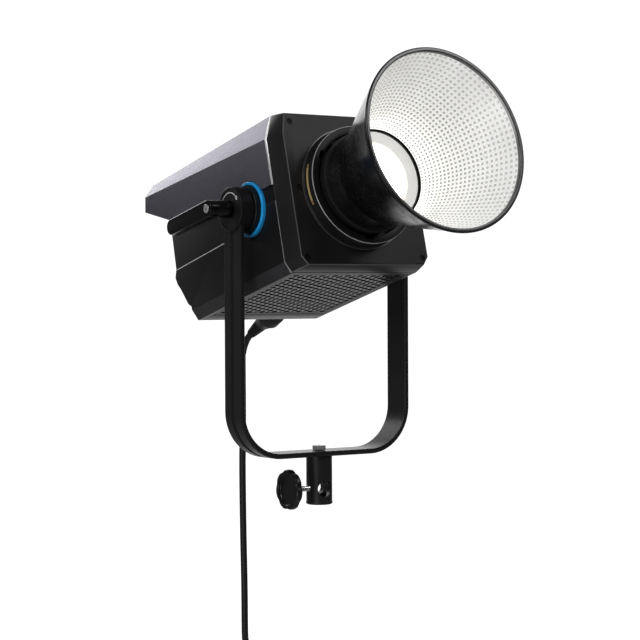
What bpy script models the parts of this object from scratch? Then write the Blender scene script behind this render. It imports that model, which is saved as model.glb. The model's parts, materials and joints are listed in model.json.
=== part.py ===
"""An open-face LED spotlight on a yoke, for a lighting stand.

World frame: origin at the centre of the stand receiver's lower rim, +Z up, the lamp's front toward -Y.
Head frame: an empty on the tilt axis. Its local -Y is the light's direction, +Z the head's top.
The light engine, accessory ring and reflector sit on the optical axis, a little above the tilt axis.
All sizes below are in millimetres; MM turns them into metres.
"""

import math

import bmesh
import bpy
from mathutils import Vector

MM = 0.001
GAP = 0.3  # air between neighbouring solids

# Stand receiver and yoke
RECEIVER_RADIUS = 14.0
RECEIVER_HEIGHT = 51.7
SOCKET_RADIUS = 8.2  # takes a 16 mm stand spigot
SOCKET_DEPTH = 42.0
CROSS_HOLE_RADIUS = 8.9
CROSS_HOLE_HEIGHT = 17.1
FOOT_LIP, FOOT_BEAD = 1.2, 0.4  # chamfer and swelling of the receiver's lower rim
BOLT_RADIUS = 4.0
BOLT_HEAD_HALF, BOLT_HEAD_HEIGHT = 5.3, 5.2
YOKE_INSIDE = 102.5  # half of the clear width between the arms
YOKE_THICKNESS = 5.5
YOKE_DEPTH = 33.0  # the strap's size along Y
YOKE_BASE = 52.0  # underside of the strap
YOKE_CORNER = 50.5  # outside radius of the bends
TILT_HEIGHT = 313.4
TILT_ANGLE = 14.9  # degrees that the light points upward at rest
FAR = 140.0  # longer than any bore that runs through the whole part

# Hubs on the tilt axis, as distances from the middle plane
HOUSING_RADIUS = 23.4
HOUSING_INNER = 95.6
HOUSING_OUTER = 110.3
FRICTION_DISC = 1.6
BOSS_RADIUS = 25.6
BLUE_RING_RADIUS = 29.1
BLUE_RING_WIDTH = 4.0
BOSS_NECK_RADIUS, BOSS_NECK_INNER = 9.0, 76.0
STUD_RADIUS = 5.0
STUD_HEAD_RADIUS, STUD_HEAD_LENGTH = 8.0, 5.7
STUD_LEFT_END = 120.5  # the left stud carries the lock lever

# Lock lever, along the tilt axis and along its own bar
LEVER_DROP = 12.5  # degrees that the bar hangs below horizontal
LEVER_BARREL_RADIUS = 9.4
LEVER_BAR_INNER = 127.5
LEVER_BAR_OUTER = 138.5
LEVER_BAR_LENGTH = 77.0
LEVER_BAR_RADIUS = 8.4
LEVER_CORE_RADIUS = 7.0
LEVER_CORE_END = 121.0
LEVER_SHOULDER = 129.8  # floor of the spring's pocket
LEVER_SPRING_END = 134.8
LEVER_SCREW_RADIUS, LEVER_SCREW_HEAD = 2.5, 4.6
LEVER_SCREW_END = 139.3

# Stand clamp
CLAMP_HEIGHT = 17.4
CLAMP_ROD_RADIUS = 3.0
CLAMP_TIP = 8.6  # the pad's tip, from the socket's axis
PAD_LENGTH = 2.4
KNOB_INNER = 33.6
KNOB_OUTER = 42.2
KNOB_RADIUS = 21.6
KNOB_LOBES = 7
KNOB_LOBE_DEPTH = 1.7
KNOB_DISH_DEPTH = 2.6

# Head, in the head frame
PLATE_FRONT = -73.3
BEZEL_BACK = -50.0
# The front plate's half top, top, side edge, half side, corner height, half bottom and bottom
PLATE_SECTION = (75.4, 81.7, 60.5, 79.7, -70.2, 73.9, -80.1)
LENS_OPENING = 50.0
BEZEL_WALL = 3.0
BEZEL_WALL_SIDE = 5.0
SIDE = 84.0  # half width of the lower shell
COVER_SIDE = 85.8  # half width of the top cover and of the bezel's back
TOP_SIDE = 75.0  # half width of the flat top
BOTTOM_SIDE = 80.0
BOTTOM = -81.9
SHELL_WALL = 2.5
COVER_WALL = 1.5
CHAMFER_TOP = -68.5  # where the side bends into the bottom chamfer
SHELL_TOP = 36.0
# The shell's back edge from its floor upward, as (Y, Z)
SHELL_BACK_LINE = (
    (147.0, BOTTOM),
    (148.0, -66.1),
    (154.0, -61.5),
    (165.4, -42.0),
    (171.2, -34.4),
    (174.0, -26.3),
    (169.6, -17.3),
    (168.0, SHELL_TOP),
)
COVER_BACK = 218.0
COVER_FRONT_EDGE, COVER_BACK_EDGE = 61.2, 80.3  # height of the cover's side edge, front and back
COVER_FRONT_TOP, COVER_BACK_TOP = 87.2, 94.0
COVER_HEM = 12.5  # lower edge of the cover beside the hub
COVER_HEM_BEND = (122.0, 17.5)  # where the hem starts to rise to the back
COVER_HEM_END = 63.4
GRILLE_FRONT, GRILLE_BACK, GRILLE_SIDE = -44.0, 121.0, 73.0

# Accessory mount and reflector, measured forward from the tilt axis
LIGHT_RISE = 1.6  # the optical axis above the tilt axis
RING_RADIUS, RING_BORE, RING_FRONT = 63.5, 55.0, 89.3
NOTCH_ANGLES = (27.0, 147.0, 267.0)
LUG_LEAD = 30.0  # degrees from a locked lug to its notch
LUG_RADIUS, LUG_HALF = 58.0, 4.2
CHANNEL_RADIUS, CHANNEL_BACK, CHANNEL_FRONT = 59.2, 75.6, 81.0  # the lugs turn in this channel
DETENT_ANGLE = 87.0
DETENT_FORWARD = 85.2
DETENT_PIN_RADIUS = 2.0
DETENT_PIN_TIP, DETENT_PIN_END, DETENT_SPRING_END = 52.8, 58.0, 62.4
THROAT_RADIUS, THROAT_FRONT = 49.4, 121.0
MOUTH_RADIUS, MOUTH_FRONT = 92.8, 233.0
BOWL_BULGE = 1.2  # how far the bowl stands outside a straight cone, half way along
BOWL_WALL = 1.5
DOME_RADIUS = 42.0
NECK_BACK = 97.3  # back end of the bowl's neck
BASE_BACK, BASE_RADIUS = 76.0, 52.4

# Rear connector panel and the mains connector on it
REAR_PANEL = 166.0
CONNECTOR_SIDE = 40.0  # the connector's place to the right of the middle
CONNECTOR_TOP, CONNECTOR_LOW = (152.0, -22.0), (139.0, -79.0)
CONNECTOR_RADIUS = 13.5
CONNECTOR_LENGTH = 88.0
CONNECTOR_DROP = 38.0  # the sockets' place down the sloping panel
DIAL_SIDE, DIAL_HEIGHT, DIAL_RADIUS, DIAL_LENGTH, DIAL_RIDGES = 56.0, 12.0, 11.0, 12.0, 14
BUTTON_PITCH, BUTTON_HEIGHT = 16.0, -8.5
DISPLAY_HALF, DISPLAY_LOW, DISPLAY_TOP = 31.0, 1.0, 35.0

# Mains lead
CORD_DIAMETER = 8.0
COIL_MEAN_RADIUS = 52.0
COIL_BUNDLE_RADIUS = 18.8
COIL_CENTRE = (40.0, 211.0, -278.0)
TIE_ANGLE = 60.0  # where the tie holds the coil, in degrees up from its +X side
TIE_THICKNESS, TIE_HALF_WIDTH = 1.5, 5.0
PLUG_WIDTH, PLUG_DEPTH, PLUG_LENGTH = 35.0, 16.0, 32.0
PLUG_DROP = 30.0  # the plug's body starts this far below the coil's centre
PLUG_OFFSET = 40.0  # the plug's place to the right of the coil's centre
RELIEF_LENGTH = 20.0
PIN_RADIUS, PIN_LENGTH, PIN_SPACING = 2.4, 19.0, 19.0

ROUND = 32  # sides of a large round piece
SMALL_ROUND = 14


def clear_scene():
    for old in list(bpy.data.objects):
        bpy.data.objects.remove(old, do_unlink=True)


def paint(name, colour, roughness, metallic=0.0):
    material = bpy.data.materials.new(name)
    material.use_nodes = True
    shader = material.node_tree.nodes["Principled BSDF"]
    shader.inputs["Base Color"].default_value = (*colour, 1.0)
    shader.inputs["Roughness"].default_value = roughness
    shader.inputs["Metallic"].default_value = metallic
    return material


PAINTS = {
    "black_metal": ((0.018, 0.018, 0.019), 0.42, 0.6),
    "black_plastic": ((0.014, 0.014, 0.015), 0.45, 0.0),
    "gloss_black": ((0.008, 0.008, 0.009), 0.18, 0.0),
    "plate_grey": ((0.035, 0.033, 0.036), 0.5, 0.2),
    "hood_grey": ((0.085, 0.082, 0.10), 0.4, 0.7),
    "blue": ((0.03, 0.32, 0.68), 0.35, 0.0),
    "steel": ((0.6, 0.6, 0.6), 0.28, 1.0),
    "aluminium": ((0.75, 0.75, 0.76), 0.35, 1.0),
    "copper": ((0.72, 0.35, 0.2), 0.3, 1.0),
    "brass": ((0.72, 0.56, 0.25), 0.35, 1.0),
    "bowl_silver": ((0.9, 0.9, 0.9), 0.2, 0.8),
    "frosted_glass": ((0.98, 0.97, 0.93), 0.4, 0.0),
    "led_yellow": ((0.9, 0.75, 0.2), 0.5, 0.0),
    "board_green": ((0.02, 0.16, 0.07), 0.5, 0.0),
    "display_black": ((0.01, 0.012, 0.016), 0.1, 0.0),
    "rubber": ((0.02, 0.02, 0.02), 0.7, 0.0),
    "brown_fibre": ((0.16, 0.09, 0.05), 0.8, 0.0),
}


def finish(name, mesh, paint_name, frame=None, place=(0, 0, 0), turn=(0, 0, 0)):
    """Makes the object of a mesh in metres; place is in millimetres. With no paint it is a hidden helper."""
    builder = bmesh.new()
    builder.from_mesh(mesh)
    bmesh.ops.recalc_face_normals(builder, faces=builder.faces)
    builder.to_mesh(mesh)
    builder.free()
    mesh.shade_smooth()
    mesh.set_sharp_from_angle(angle=math.radians(32))
    obj = bpy.data.objects.new(name, mesh)
    bpy.context.scene.collection.objects.link(obj)
    obj.location = [value * MM for value in place]
    obj.rotation_euler = turn
    obj.parent = frame
    if paint_name is None:
        obj.hide_render = True
        obj.display_type = "WIRE"
    else:
        mesh.materials.append(MATERIALS[paint_name])
    return obj


def mesh_of(name, points, faces):
    mesh = bpy.data.meshes.new(name)
    mesh.from_pydata([[value * MM for value in point] for point in points], [], faces)
    return mesh


def loft(name, rings, paint_name, **options):
    """A closed solid through rings of equal length; the first and last ring are its end faces."""
    count = len(rings[0])
    points = [point for ring in rings for point in ring]
    faces = [list(range(count)), list(range(len(points) - count, len(points)))]
    for ring in range(len(rings) - 1):
        for side in range(count):
            following = (side + 1) % count
            start, end = ring * count, (ring + 1) * count
            faces.append([start + side, start + following, end + following, end + side])
    return finish(name, mesh_of(name, points, faces), paint_name, **options)


def on_axis(axis, along, across):
    """The point with this place along an axis, and the pair of places on the two other axes in X, Y, Z order."""
    point = list(across)
    point.insert("xyz".index(axis), along)
    return tuple(point)


def prism(name, outline, axis, low, high, paint_name=None, **options):
    rings = [[on_axis(axis, along, point) for point in outline] for along in (low, high)]
    return loft(name, rings, paint_name, **options)


def block(name, low, high, paint_name=None, **options):
    corners = [(low[0], low[1]), (high[0], low[1]), (high[0], high[1]), (low[0], high[1])]
    return prism(name, corners, "z", low[2], high[2], paint_name, **options)


def turned(name, profile, paint_name=None, sides=ROUND, ring=False, **options):
    """A solid turned about its own Z from (radius, height) points. A ring's profile closes on itself."""
    points, rings = [], []
    for radius, height in profile:
        rings.append(len(points))
        steps = 1 if radius == 0 else sides
        for step in range(steps):
            angle = 2 * math.pi * step / sides
            points.append((radius * math.cos(angle), radius * math.sin(angle), height))
    faces = []
    last = len(profile) if ring else len(profile) - 1
    for row in range(last):
        following = (row + 1) % len(profile)
        a, b = rings[row], rings[following]
        pole_a, pole_b = profile[row][0] == 0, profile[following][0] == 0
        for step in range(sides):
            after = (step + 1) % sides
            if pole_a:
                faces.append([a, b + step, b + after])
            elif pole_b:
                faces.append([a + step, b, a + after])
            else:
                faces.append([a + step, a + after, b + after, b + step])
    if not ring:
        ends = [start for start, (radius, _) in ((rings[0], profile[0]), (rings[-1], profile[-1])) if radius > 0]
        faces += [list(range(start, start + sides)) for start in ends]
    return finish(name, mesh_of(name, points, faces), paint_name, **options)


def rod(name, radius, low, high, paint_name=None, sides=SMALL_ROUND, **options):
    return turned(name, [(radius, low), (radius, high)], paint_name, sides, **options)


def boolean(obj, operation, others):
    for other in others:
        modifier = obj.modifiers.new(f"{operation.lower()} {other.name}", "BOOLEAN")
        modifier.operation = operation
        modifier.solver = "EXACT"
        modifier.object = other
    return obj


def cut(obj, *cutters):
    return boolean(obj, "DIFFERENCE", cutters)


def join(obj, *others):
    return boolean(obj, "UNION", others)


def arc(centre, radius, start, end, steps):
    """Points of an arc, from one angle to another in degrees."""
    angles = [math.radians(start + (end - start) * step / steps) for step in range(steps + 1)]
    return [(centre[0] + radius * math.cos(a), centre[1] + radius * math.sin(a)) for a in angles]


def smooth_path(knots, spacing):
    """Points of a Catmull-Rom curve through the knots, in millimetres, about evenly spaced."""
    knots = [Vector(knot) for knot in knots]
    ends = [knots[0] * 2 - knots[1], *knots, knots[-1] * 2 - knots[-2]]
    fine = []
    for before, start, end, after in zip(ends, ends[1:], ends[2:], ends[3:]):
        for step in range(20):
            t = step / 20
            fine.append(
                0.5
                * (
                    2 * start
                    + (end - before) * t
                    + (2 * before - 5 * start + 4 * end - after) * t**2
                    + (3 * start - before - 3 * end + after) * t**3
                )
            )
    fine.append(knots[-1])
    path, walked = [fine[0]], 0.0
    for start, end in zip(fine, fine[1:]):
        walked += (end - start).length
        if walked >= spacing:
            path.append(end)
            walked = 0.0
    if (path[-1] - fine[-1]).length > spacing / 2:
        path.append(fine[-1])
    else:
        path[-1] = fine[-1]
    return path


def tube(name, path, diameter, paint_name, frame=None):
    curve = bpy.data.curves.new(name, "CURVE")
    curve.dimensions = "3D"
    curve.bevel_depth = diameter / 2 * MM
    curve.bevel_resolution = 2
    curve.use_fill_caps = True
    spline = curve.splines.new("POLY")
    spline.points.add(len(path) - 1)
    for point, place in zip(spline.points, path):
        point.co = (*(value * MM for value in place), 1.0)
    curve.materials.append(MATERIALS[paint_name])
    obj = bpy.data.objects.new(name, curve)
    bpy.context.scene.collection.objects.link(obj)
    obj.parent = frame
    return obj


def axis_empty(name, place, turn=(0, 0, 0), frame=None):
    empty = bpy.data.objects.new(name, None)
    bpy.context.scene.collection.objects.link(empty)
    empty.location = [value * MM for value in place]
    empty.rotation_euler = turn
    empty.parent = frame
    return empty


OUT_LEFT = (0, -math.pi / 2, 0)  # a turned piece's own +Z toward -X
OUT_RIGHT = (0, math.pi / 2, 0)
FORWARD = (math.pi / 2, 0, 0)  # toward -Y
BACKWARD = (-math.pi / 2, 0, 0)


# Yoke


def yoke_outline(inset):
    """The strap's path from the left arm's top round to the right arm's, inset from its outside."""
    side = YOKE_INSIDE + YOKE_THICKNESS - inset
    base = YOKE_BASE + inset
    radius = YOKE_CORNER - inset
    left = arc((-side + radius, base + radius), radius, 180, 270, 9)
    right = arc((side - radius, base + radius), radius, 270, 360, 9)
    return [(-side, TILT_HEIGHT), *left, *right, (side, TILT_HEIGHT)]


def make_yoke():
    outline = yoke_outline(0) + yoke_outline(YOKE_THICKNESS)[::-1]
    half = YOKE_DEPTH / 2
    strap = prism("yoke_strap", outline, "y", -half, half, "black_metal")
    outer, inner = YOKE_INSIDE + YOKE_THICKNESS, YOKE_INSIDE
    for side, name in ((-1, "left"), (1, "right")):
        low, high = sorted((side * inner, side * outer))
        join(strap, rod(f"{name}_arm_end", half, low, high, turn=OUT_RIGHT, place=(0, 0, TILT_HEIGHT), sides=24))
    bore = rod("tilt_bore", STUD_RADIUS + GAP, -FAR, FAR, turn=OUT_RIGHT, place=(0, 0, TILT_HEIGHT))
    base_hole = rod("base_bolt_hole", BOLT_RADIUS + GAP, YOKE_BASE - 12, YOKE_BASE + 18)
    cut(strap, bore, base_hole)
    for side, name in ((-1, "left"), (1, "right")):
        make_hub_housing(side, name)


def make_hub_housing(side, name):
    """A round housing that the arm's end sits in, open at the bottom where the arm enters."""
    turn = OUT_RIGHT if side > 0 else OUT_LEFT
    place = (0, 0, TILT_HEIGHT)
    half = YOKE_DEPTH / 2 + GAP
    edge = 0.8
    profile = [
        (HOUSING_RADIUS, HOUSING_INNER),
        (HOUSING_RADIUS, HOUSING_OUTER - edge),
        (HOUSING_RADIUS - edge, HOUSING_OUTER),
    ]
    housing = turned(f"{name}_hub_housing", profile, "black_metal", turn=turn, place=place)
    low, high = sorted((side * (YOKE_INSIDE - GAP), side * (YOKE_INSIDE + YOKE_THICKNESS + GAP)))
    slot = arc((0, TILT_HEIGHT), half, 0, 180, 12) + [(-half, TILT_HEIGHT - 40), (half, TILT_HEIGHT - 40)]
    slot_cutter = prism(f"{name}_arm_slot", slot, "x", low, high)
    bore = rod(f"{name}_housing_bore", STUD_RADIUS + GAP, HOUSING_INNER - 15, FAR, turn=turn, place=place)
    cut(housing, slot_cutter, bore)
    disc = [
        (STUD_RADIUS + GAP, HOUSING_INNER - GAP - FRICTION_DISC),
        (HOUSING_RADIUS - 2, HOUSING_INNER - GAP - FRICTION_DISC),
        (HOUSING_RADIUS - 2, HOUSING_INNER - GAP),
        (STUD_RADIUS + GAP, HOUSING_INNER - GAP),
    ]
    turned(f"{name}_friction_disc", disc, "brown_fibre", sides=16, ring=True, turn=turn, place=place)


def make_receiver():
    profile = [
        (RECEIVER_RADIUS - FOOT_LIP, 0),
        (RECEIVER_RADIUS + FOOT_BEAD, FOOT_LIP),
        (RECEIVER_RADIUS + FOOT_BEAD, 2.6),
        (RECEIVER_RADIUS, 3.2),
        (RECEIVER_RADIUS, RECEIVER_HEIGHT),
    ]
    receiver = turned("stand_receiver", profile, "black_metal", sides=24)
    socket = rod("socket_bore", SOCKET_RADIUS, -5, SOCKET_DEPTH, sides=24)
    bolt_hole = rod("receiver_bolt_hole", BOLT_RADIUS + GAP, SOCKET_DEPTH - 2, RECEIVER_HEIGHT + 8)
    place = (0, 0, CROSS_HOLE_HEIGHT)
    cross = rod("cross_hole", CROSS_HOLE_RADIUS, -30, 30, turn=FORWARD, place=place, sides=20)
    place = (0, 0, CLAMP_HEIGHT)
    clamp_hole = rod("clamp_hole", CLAMP_ROD_RADIUS + 0.4, 0, 30, turn=OUT_LEFT, place=place)
    cut(receiver, socket, bolt_hole, cross, clamp_hole)
    head_low = YOKE_BASE + YOKE_THICKNESS + GAP
    half = BOLT_HEAD_HALF
    head = block("receiver_bolt", (-half, -half, head_low), (half, half, head_low + BOLT_HEAD_HEIGHT), "steel")
    join(head, rod("bolt_shank", BOLT_RADIUS, SOCKET_DEPTH + 0.5, head_low + 1))


def make_clamp():
    """A screw through the receiver's wall: its loose pad presses on the spigot as the knob turns."""
    place = (0, 0, CLAMP_HEIGHT)
    frame = axis_empty("clamp_axis", place, OUT_LEFT)
    rod("clamp_pad", CLAMP_ROD_RADIUS - 0.4, CLAMP_TIP, CLAMP_TIP + PAD_LENGTH, "brass", frame=frame)
    screw_tip = CLAMP_TIP + PAD_LENGTH + GAP
    rod("clamp_screw", CLAMP_ROD_RADIUS, screw_tip, KNOB_INNER - GAP, "steel", frame=frame)
    outline, steps = [], KNOB_LOBES * 5
    for step in range(steps):
        angle = 2 * math.pi * step / steps
        radius = KNOB_RADIUS - KNOB_LOBE_DEPTH * (0.5 - 0.5 * math.cos(KNOB_LOBES * angle)) ** 2
        outline.append((radius * math.cos(angle), radius * math.sin(angle)))

    def ring(scale, height):
        return [(x * scale, y * scale, height) for x, y in outline]

    rings = [
        ring(0.35, KNOB_INNER),
        ring(0.9, KNOB_INNER + 0.8),
        ring(1.0, KNOB_INNER + 2.6),
        ring(1.0, KNOB_OUTER - 1.6),
        ring(0.94, KNOB_OUTER),
        ring(0.76, KNOB_OUTER),
        ring(0.72, KNOB_OUTER - KNOB_DISH_DEPTH),
    ]
    loft("clamp_knob", rings, "black_plastic", frame=frame)


# Tilt lock lever


def make_lever():
    frame = axis_empty("lever_axis", (0, 0, TILT_HEIGHT), (math.radians(-LEVER_DROP), 0, 0))
    bore = STUD_RADIUS + GAP
    core = [
        (bore, HOUSING_OUTER + GAP),
        (LEVER_CORE_RADIUS, HOUSING_OUTER + GAP),
        (LEVER_CORE_RADIUS, LEVER_CORE_END),
        (bore, LEVER_CORE_END),
    ]
    turned("lever_core", core, "steel", SMALL_ROUND, ring=True, frame=frame, turn=OUT_LEFT)
    barrel = [
        (LEVER_BARREL_RADIUS - 0.6, HOUSING_OUTER + GAP),
        (LEVER_BARREL_RADIUS, HOUSING_OUTER + GAP + 0.6),
        (LEVER_BARREL_RADIUS, LEVER_BAR_INNER + 2),
    ]
    handle = turned("lever_handle", barrel, "gloss_black", 20, frame=frame, turn=OUT_LEFT)
    near = arc((0, 0), LEVER_BAR_RADIUS + 0.6, 270, 90, 8)
    far = arc((LEVER_BAR_LENGTH, 0), LEVER_BAR_RADIUS, 90, -90, 8)
    bar = prism("lever_bar", near + far, "x", -LEVER_BAR_OUTER, -LEVER_BAR_INNER, frame=frame)
    join(handle, bar)
    inner = LEVER_SCREW_RADIUS + 0.6
    along = {"turn": OUT_LEFT, "frame": frame}
    cuts = [
        rod("core_pocket", LEVER_CORE_RADIUS + 0.4, HOUSING_INNER, LEVER_CORE_END + 0.5, **along),
        rod("screw_passage", LEVER_SCREW_RADIUS + 0.5, HOUSING_INNER, FAR, **along),
        rod("spring_pocket", LEVER_SCREW_HEAD + 0.4, LEVER_SHOULDER, FAR, **along),
    ]
    cut(handle, *cuts)
    spring = [
        (inner, LEVER_SHOULDER + 0.2),
        (LEVER_SCREW_HEAD, LEVER_SHOULDER + 0.2),
        (LEVER_SCREW_HEAD, LEVER_SPRING_END),
        (inner, LEVER_SPRING_END),
    ]
    turned("lever_spring", spring, "steel", SMALL_ROUND, ring=True, frame=frame, turn=OUT_LEFT)
    screw = [
        (LEVER_SCREW_RADIUS, LEVER_CORE_END + 0.2),
        (LEVER_SCREW_RADIUS, LEVER_SPRING_END + 0.2),
        (LEVER_SCREW_HEAD, LEVER_SPRING_END + 0.2),
        (LEVER_SCREW_HEAD, LEVER_SCREW_END - 0.7),
        (LEVER_SCREW_HEAD - 0.8, LEVER_SCREW_END),
        (2.4, LEVER_SCREW_END),
        (2.4, LEVER_SCREW_END - 2.1),
    ]
    turned("lever_screw", screw, "steel", SMALL_ROUND, frame=frame, turn=OUT_LEFT)


# Head housing


def section(half_top, top, edge, half_side, corner, half_bottom, bottom, y):
    """The head's octagonal section at one place along its length, from the lower left round."""
    right = [(half_bottom, bottom), (half_side, corner), (half_side, edge), (half_top, top)]
    left = [(-x, z) for x, z in reversed(right)]
    return [(x, y, z) for x, z in right + left]


def make_bezel(frame, light):
    """The front casting: a flat plate whose edges flare back to meet the shell and the cover."""
    front = section(*PLATE_SECTION, PLATE_FRONT)
    corner, half_bottom = CHAMFER_TOP - 1.0, BOTTOM_SIDE + 0.5
    back = section(
        TOP_SIDE, COVER_FRONT_TOP, COVER_FRONT_EDGE, COVER_SIDE, corner, half_bottom, BOTTOM, BEZEL_BACK
    )
    bezel = loft("front_bezel", [front, back], "plate_grey", frame=frame)
    shrink = 1 - BEZEL_WALL_SIDE / COVER_SIDE

    def inside(points, y):
        return [(x * shrink, y, z * shrink) for x, _, z in points]

    hollow = [inside(front, PLATE_FRONT + BEZEL_WALL), inside(back, BEZEL_BACK + 5)]
    opening = rod("lens_opening", LENS_OPENING, -FAR, FAR, turn=FORWARD, frame=light, sides=ROUND)
    cut(bezel, loft("bezel_hollow", hollow, None, frame=frame), opening)


def shell_section(inset, top):
    """The lower shell's chamfered section in X and Z, moved inward by an inset."""
    low = BOTTOM + inset
    half = SIDE - inset
    edge = BOTTOM_SIDE - inset * 0.8
    corner = CHAMFER_TOP + inset * 0.2
    return [(edge, low), (half, corner), (half, top), (-half, top), (-half, corner), (-edge, low)]


def make_lower_shell(frame):
    profile = [
        (BEZEL_BACK + GAP, SHELL_TOP),
        (BEZEL_BACK + GAP, BOTTOM),
        *SHELL_BACK_LINE,
    ]
    shell = prism("lower_shell", profile, "x", -SIDE, SIDE, "black_metal", frame=frame)
    front, back = BEZEL_BACK - 10, 190

    keep = prism("shell_section", shell_section(0, 60), "y", front, back, frame=frame)
    hollow = prism("shell_hollow", shell_section(SHELL_WALL, 70), "y", front - 5, back + 5, frame=frame)
    window = block(
        "grille_window",
        (-GRILLE_SIDE, GRILLE_FRONT, BOTTOM - 5),
        (GRILLE_SIDE, GRILLE_BACK, BOTTOM + 10),
        frame=frame,
    )
    boolean(shell, "INTERSECT", [keep])
    cut(shell, hollow, window)
    for side, name in ((-1, "left"), (1, "right")):
        turn = OUT_RIGHT if side > 0 else OUT_LEFT
        radius = BOSS_NECK_RADIUS + 0.4
        cut(shell, rod(f"{name}_shell_bore", radius, SIDE - 14, SIDE + 16, turn=turn, frame=frame))
    block(
        "bottom_grille",
        (-GRILLE_SIDE + GAP, GRILLE_FRONT + GAP, BOTTOM),
        (GRILLE_SIDE - GAP, GRILLE_BACK - GAP, BOTTOM + 2.0),
        "black_metal",
        frame=frame,
    )


def make_top_cover(frame):
    """The hood: it rises slightly to the back and its side chamfer narrows with it."""

    def ring(y, inset):
        along = (y - BEZEL_BACK) / (COVER_BACK - BEZEL_BACK)
        edge = COVER_FRONT_EDGE + (COVER_BACK_EDGE - COVER_FRONT_EDGE) * along - inset * 0.3
        top = COVER_FRONT_TOP + (COVER_BACK_TOP - COVER_FRONT_TOP) * along - inset
        half, half_top = COVER_SIDE - inset, TOP_SIDE - inset * 0.7
        low = -10 - inset * 5
        right = [(half, low), (half, edge), (half_top, top)]
        return [(x, y, z) for x, z in right + [(-x, z) for x, z in reversed(right)]]

    front = BEZEL_BACK + GAP
    bays = 5

    def rings(low, high, inset):
        return [ring(low + (high - low) * bay / bays, inset) for bay in range(bays + 1)]

    cover = loft("top_cover", rings(front, COVER_BACK, 0), "hood_grey", frame=frame)
    side_profile = [
        (front - 5, COVER_HEM),
        COVER_HEM_BEND,
        (COVER_BACK, COVER_HEM_END),
        (COVER_BACK - 4.6, COVER_BACK_EDGE),
        (COVER_BACK - 9.0, 110.0),
        (front - 5, 110.0),
    ]
    keep = prism("cover_profile", side_profile, "x", -100, 100, frame=frame)
    hollow = loft("cover_hollow", rings(front - 5, COVER_BACK - 11, COVER_WALL), None, frame=frame)
    boolean(cover, "INTERSECT", [keep])
    cut(cover, hollow)
    for side, name in ((-1, "left"), (1, "right")):
        turn = OUT_RIGHT if side > 0 else OUT_LEFT
        radius = BLUE_RING_RADIUS + 0.5
        cut(cover, rod(f"{name}_cover_notch", radius, 70, 100, turn=turn, frame=frame, sides=ROUND))


def make_tilt_parts(frame):
    """Bosses, blue trim rings and studs of the head, on both sides of it."""
    disc_inner = HOUSING_INNER - 2 * GAP - FRICTION_DISC
    for side, name in ((-1, "left"), (1, "right")):
        turn = OUT_RIGHT if side > 0 else OUT_LEFT
        bore = STUD_RADIUS + GAP
        ring_inner = SIDE + GAP
        ring_outer = ring_inner + BLUE_RING_WIDTH
        boss = [
            (bore, BOSS_NECK_INNER),
            (BOSS_NECK_RADIUS, BOSS_NECK_INNER),
            (BOSS_NECK_RADIUS, ring_inner),
            (BOSS_RADIUS - 0.6, ring_inner),
            (BOSS_RADIUS - 0.6, disc_inner),
            (bore, disc_inner),
        ]
        turned(f"{name}_tilt_boss", boss, "black_metal", ring=True, frame=frame, turn=turn)
        trim = [
            (BOSS_RADIUS, ring_inner),
            (BLUE_RING_RADIUS, ring_inner),
            (BLUE_RING_RADIUS - 0.6, ring_outer),
            (BOSS_RADIUS, ring_outer),
        ]
        turned(f"{name}_blue_ring", trim, "blue", ring=True, frame=frame, turn=turn)
        head_outer = BOSS_NECK_INNER - GAP
        stud = [
            (STUD_HEAD_RADIUS, head_outer - STUD_HEAD_LENGTH),
            (STUD_HEAD_RADIUS, head_outer),
            (STUD_RADIUS, head_outer),
            (STUD_RADIUS, STUD_LEFT_END if side < 0 else HOUSING_OUTER - 1),
        ]
        turned(f"{name}_tilt_stud", stud, "steel", SMALL_ROUND, frame=frame, turn=turn)


# Accessory mount and reflector


def make_mount_ring(frame):
    back = -PLATE_FRONT + GAP
    profile = [
        (RING_BORE, back),
        (RING_RADIUS + 1.0, back),
        (RING_RADIUS, back + 1.0),
        (RING_RADIUS, RING_FRONT),
        (RING_BORE, RING_FRONT),
        (RING_BORE, CHANNEL_FRONT),
        (CHANNEL_RADIUS, CHANNEL_FRONT),
        (CHANNEL_RADIUS, CHANNEL_BACK),
        (RING_BORE, CHANNEL_BACK),
    ]
    ring = turned("mount_ring", profile, "black_metal", 36, ring=True, frame=frame, turn=FORWARD)
    notches = []
    for number, angle in enumerate(NOTCH_ANGLES):
        turn = (0, -math.radians(angle), 0)
        low, high = (RING_BORE - 5, -RING_FRONT - 5, -5), (LUG_RADIUS + 0.8, -CHANNEL_FRONT + 1, 5)
        notches.append(block(f"notch_{number}", low, high, frame=frame, turn=turn))
    place, turn = (0, -DETENT_FORWARD, 0), (0, math.radians(90 - DETENT_ANGLE), 0)
    radius, tip, end = DETENT_PIN_RADIUS, DETENT_PIN_TIP, DETENT_PIN_END
    across = {"turn": turn, "place": place, "frame": frame}
    pin_bore = rod("detent_bore", radius + 0.4, RING_BORE - 5, RING_RADIUS - 0.8, **across)
    cut(ring, *notches, pin_bore)
    detent = axis_empty("detent_axis", place, turn, frame)
    pin = [(0, tip), (radius - 0.8, tip + 0.3), (radius, tip + 1.4), (radius, end), (0, end)]
    turned("detent_pin", pin, "steel", 12, frame=detent)
    low, high, inner = end + 0.2, DETENT_SPRING_END, radius - 1.1
    spring = [(inner, low), (radius, low), (radius, high), (inner, high)]
    turned("detent_spring", spring, "steel", 12, ring=True, frame=detent)


def bowl_line(offset, steps):
    """The bowl's meridian from throat to mouth, a shallow flared curve, moved outward by an offset."""
    line = []
    for step in range(steps + 1):
        t = step / steps
        forward = THROAT_FRONT + (MOUTH_FRONT - THROAT_FRONT) * t
        bulge = BOWL_BULGE * math.sin(math.pi * t)
        line.append((THROAT_RADIUS + (MOUTH_RADIUS - THROAT_RADIUS) * t + bulge + offset, forward))
    return line


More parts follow.
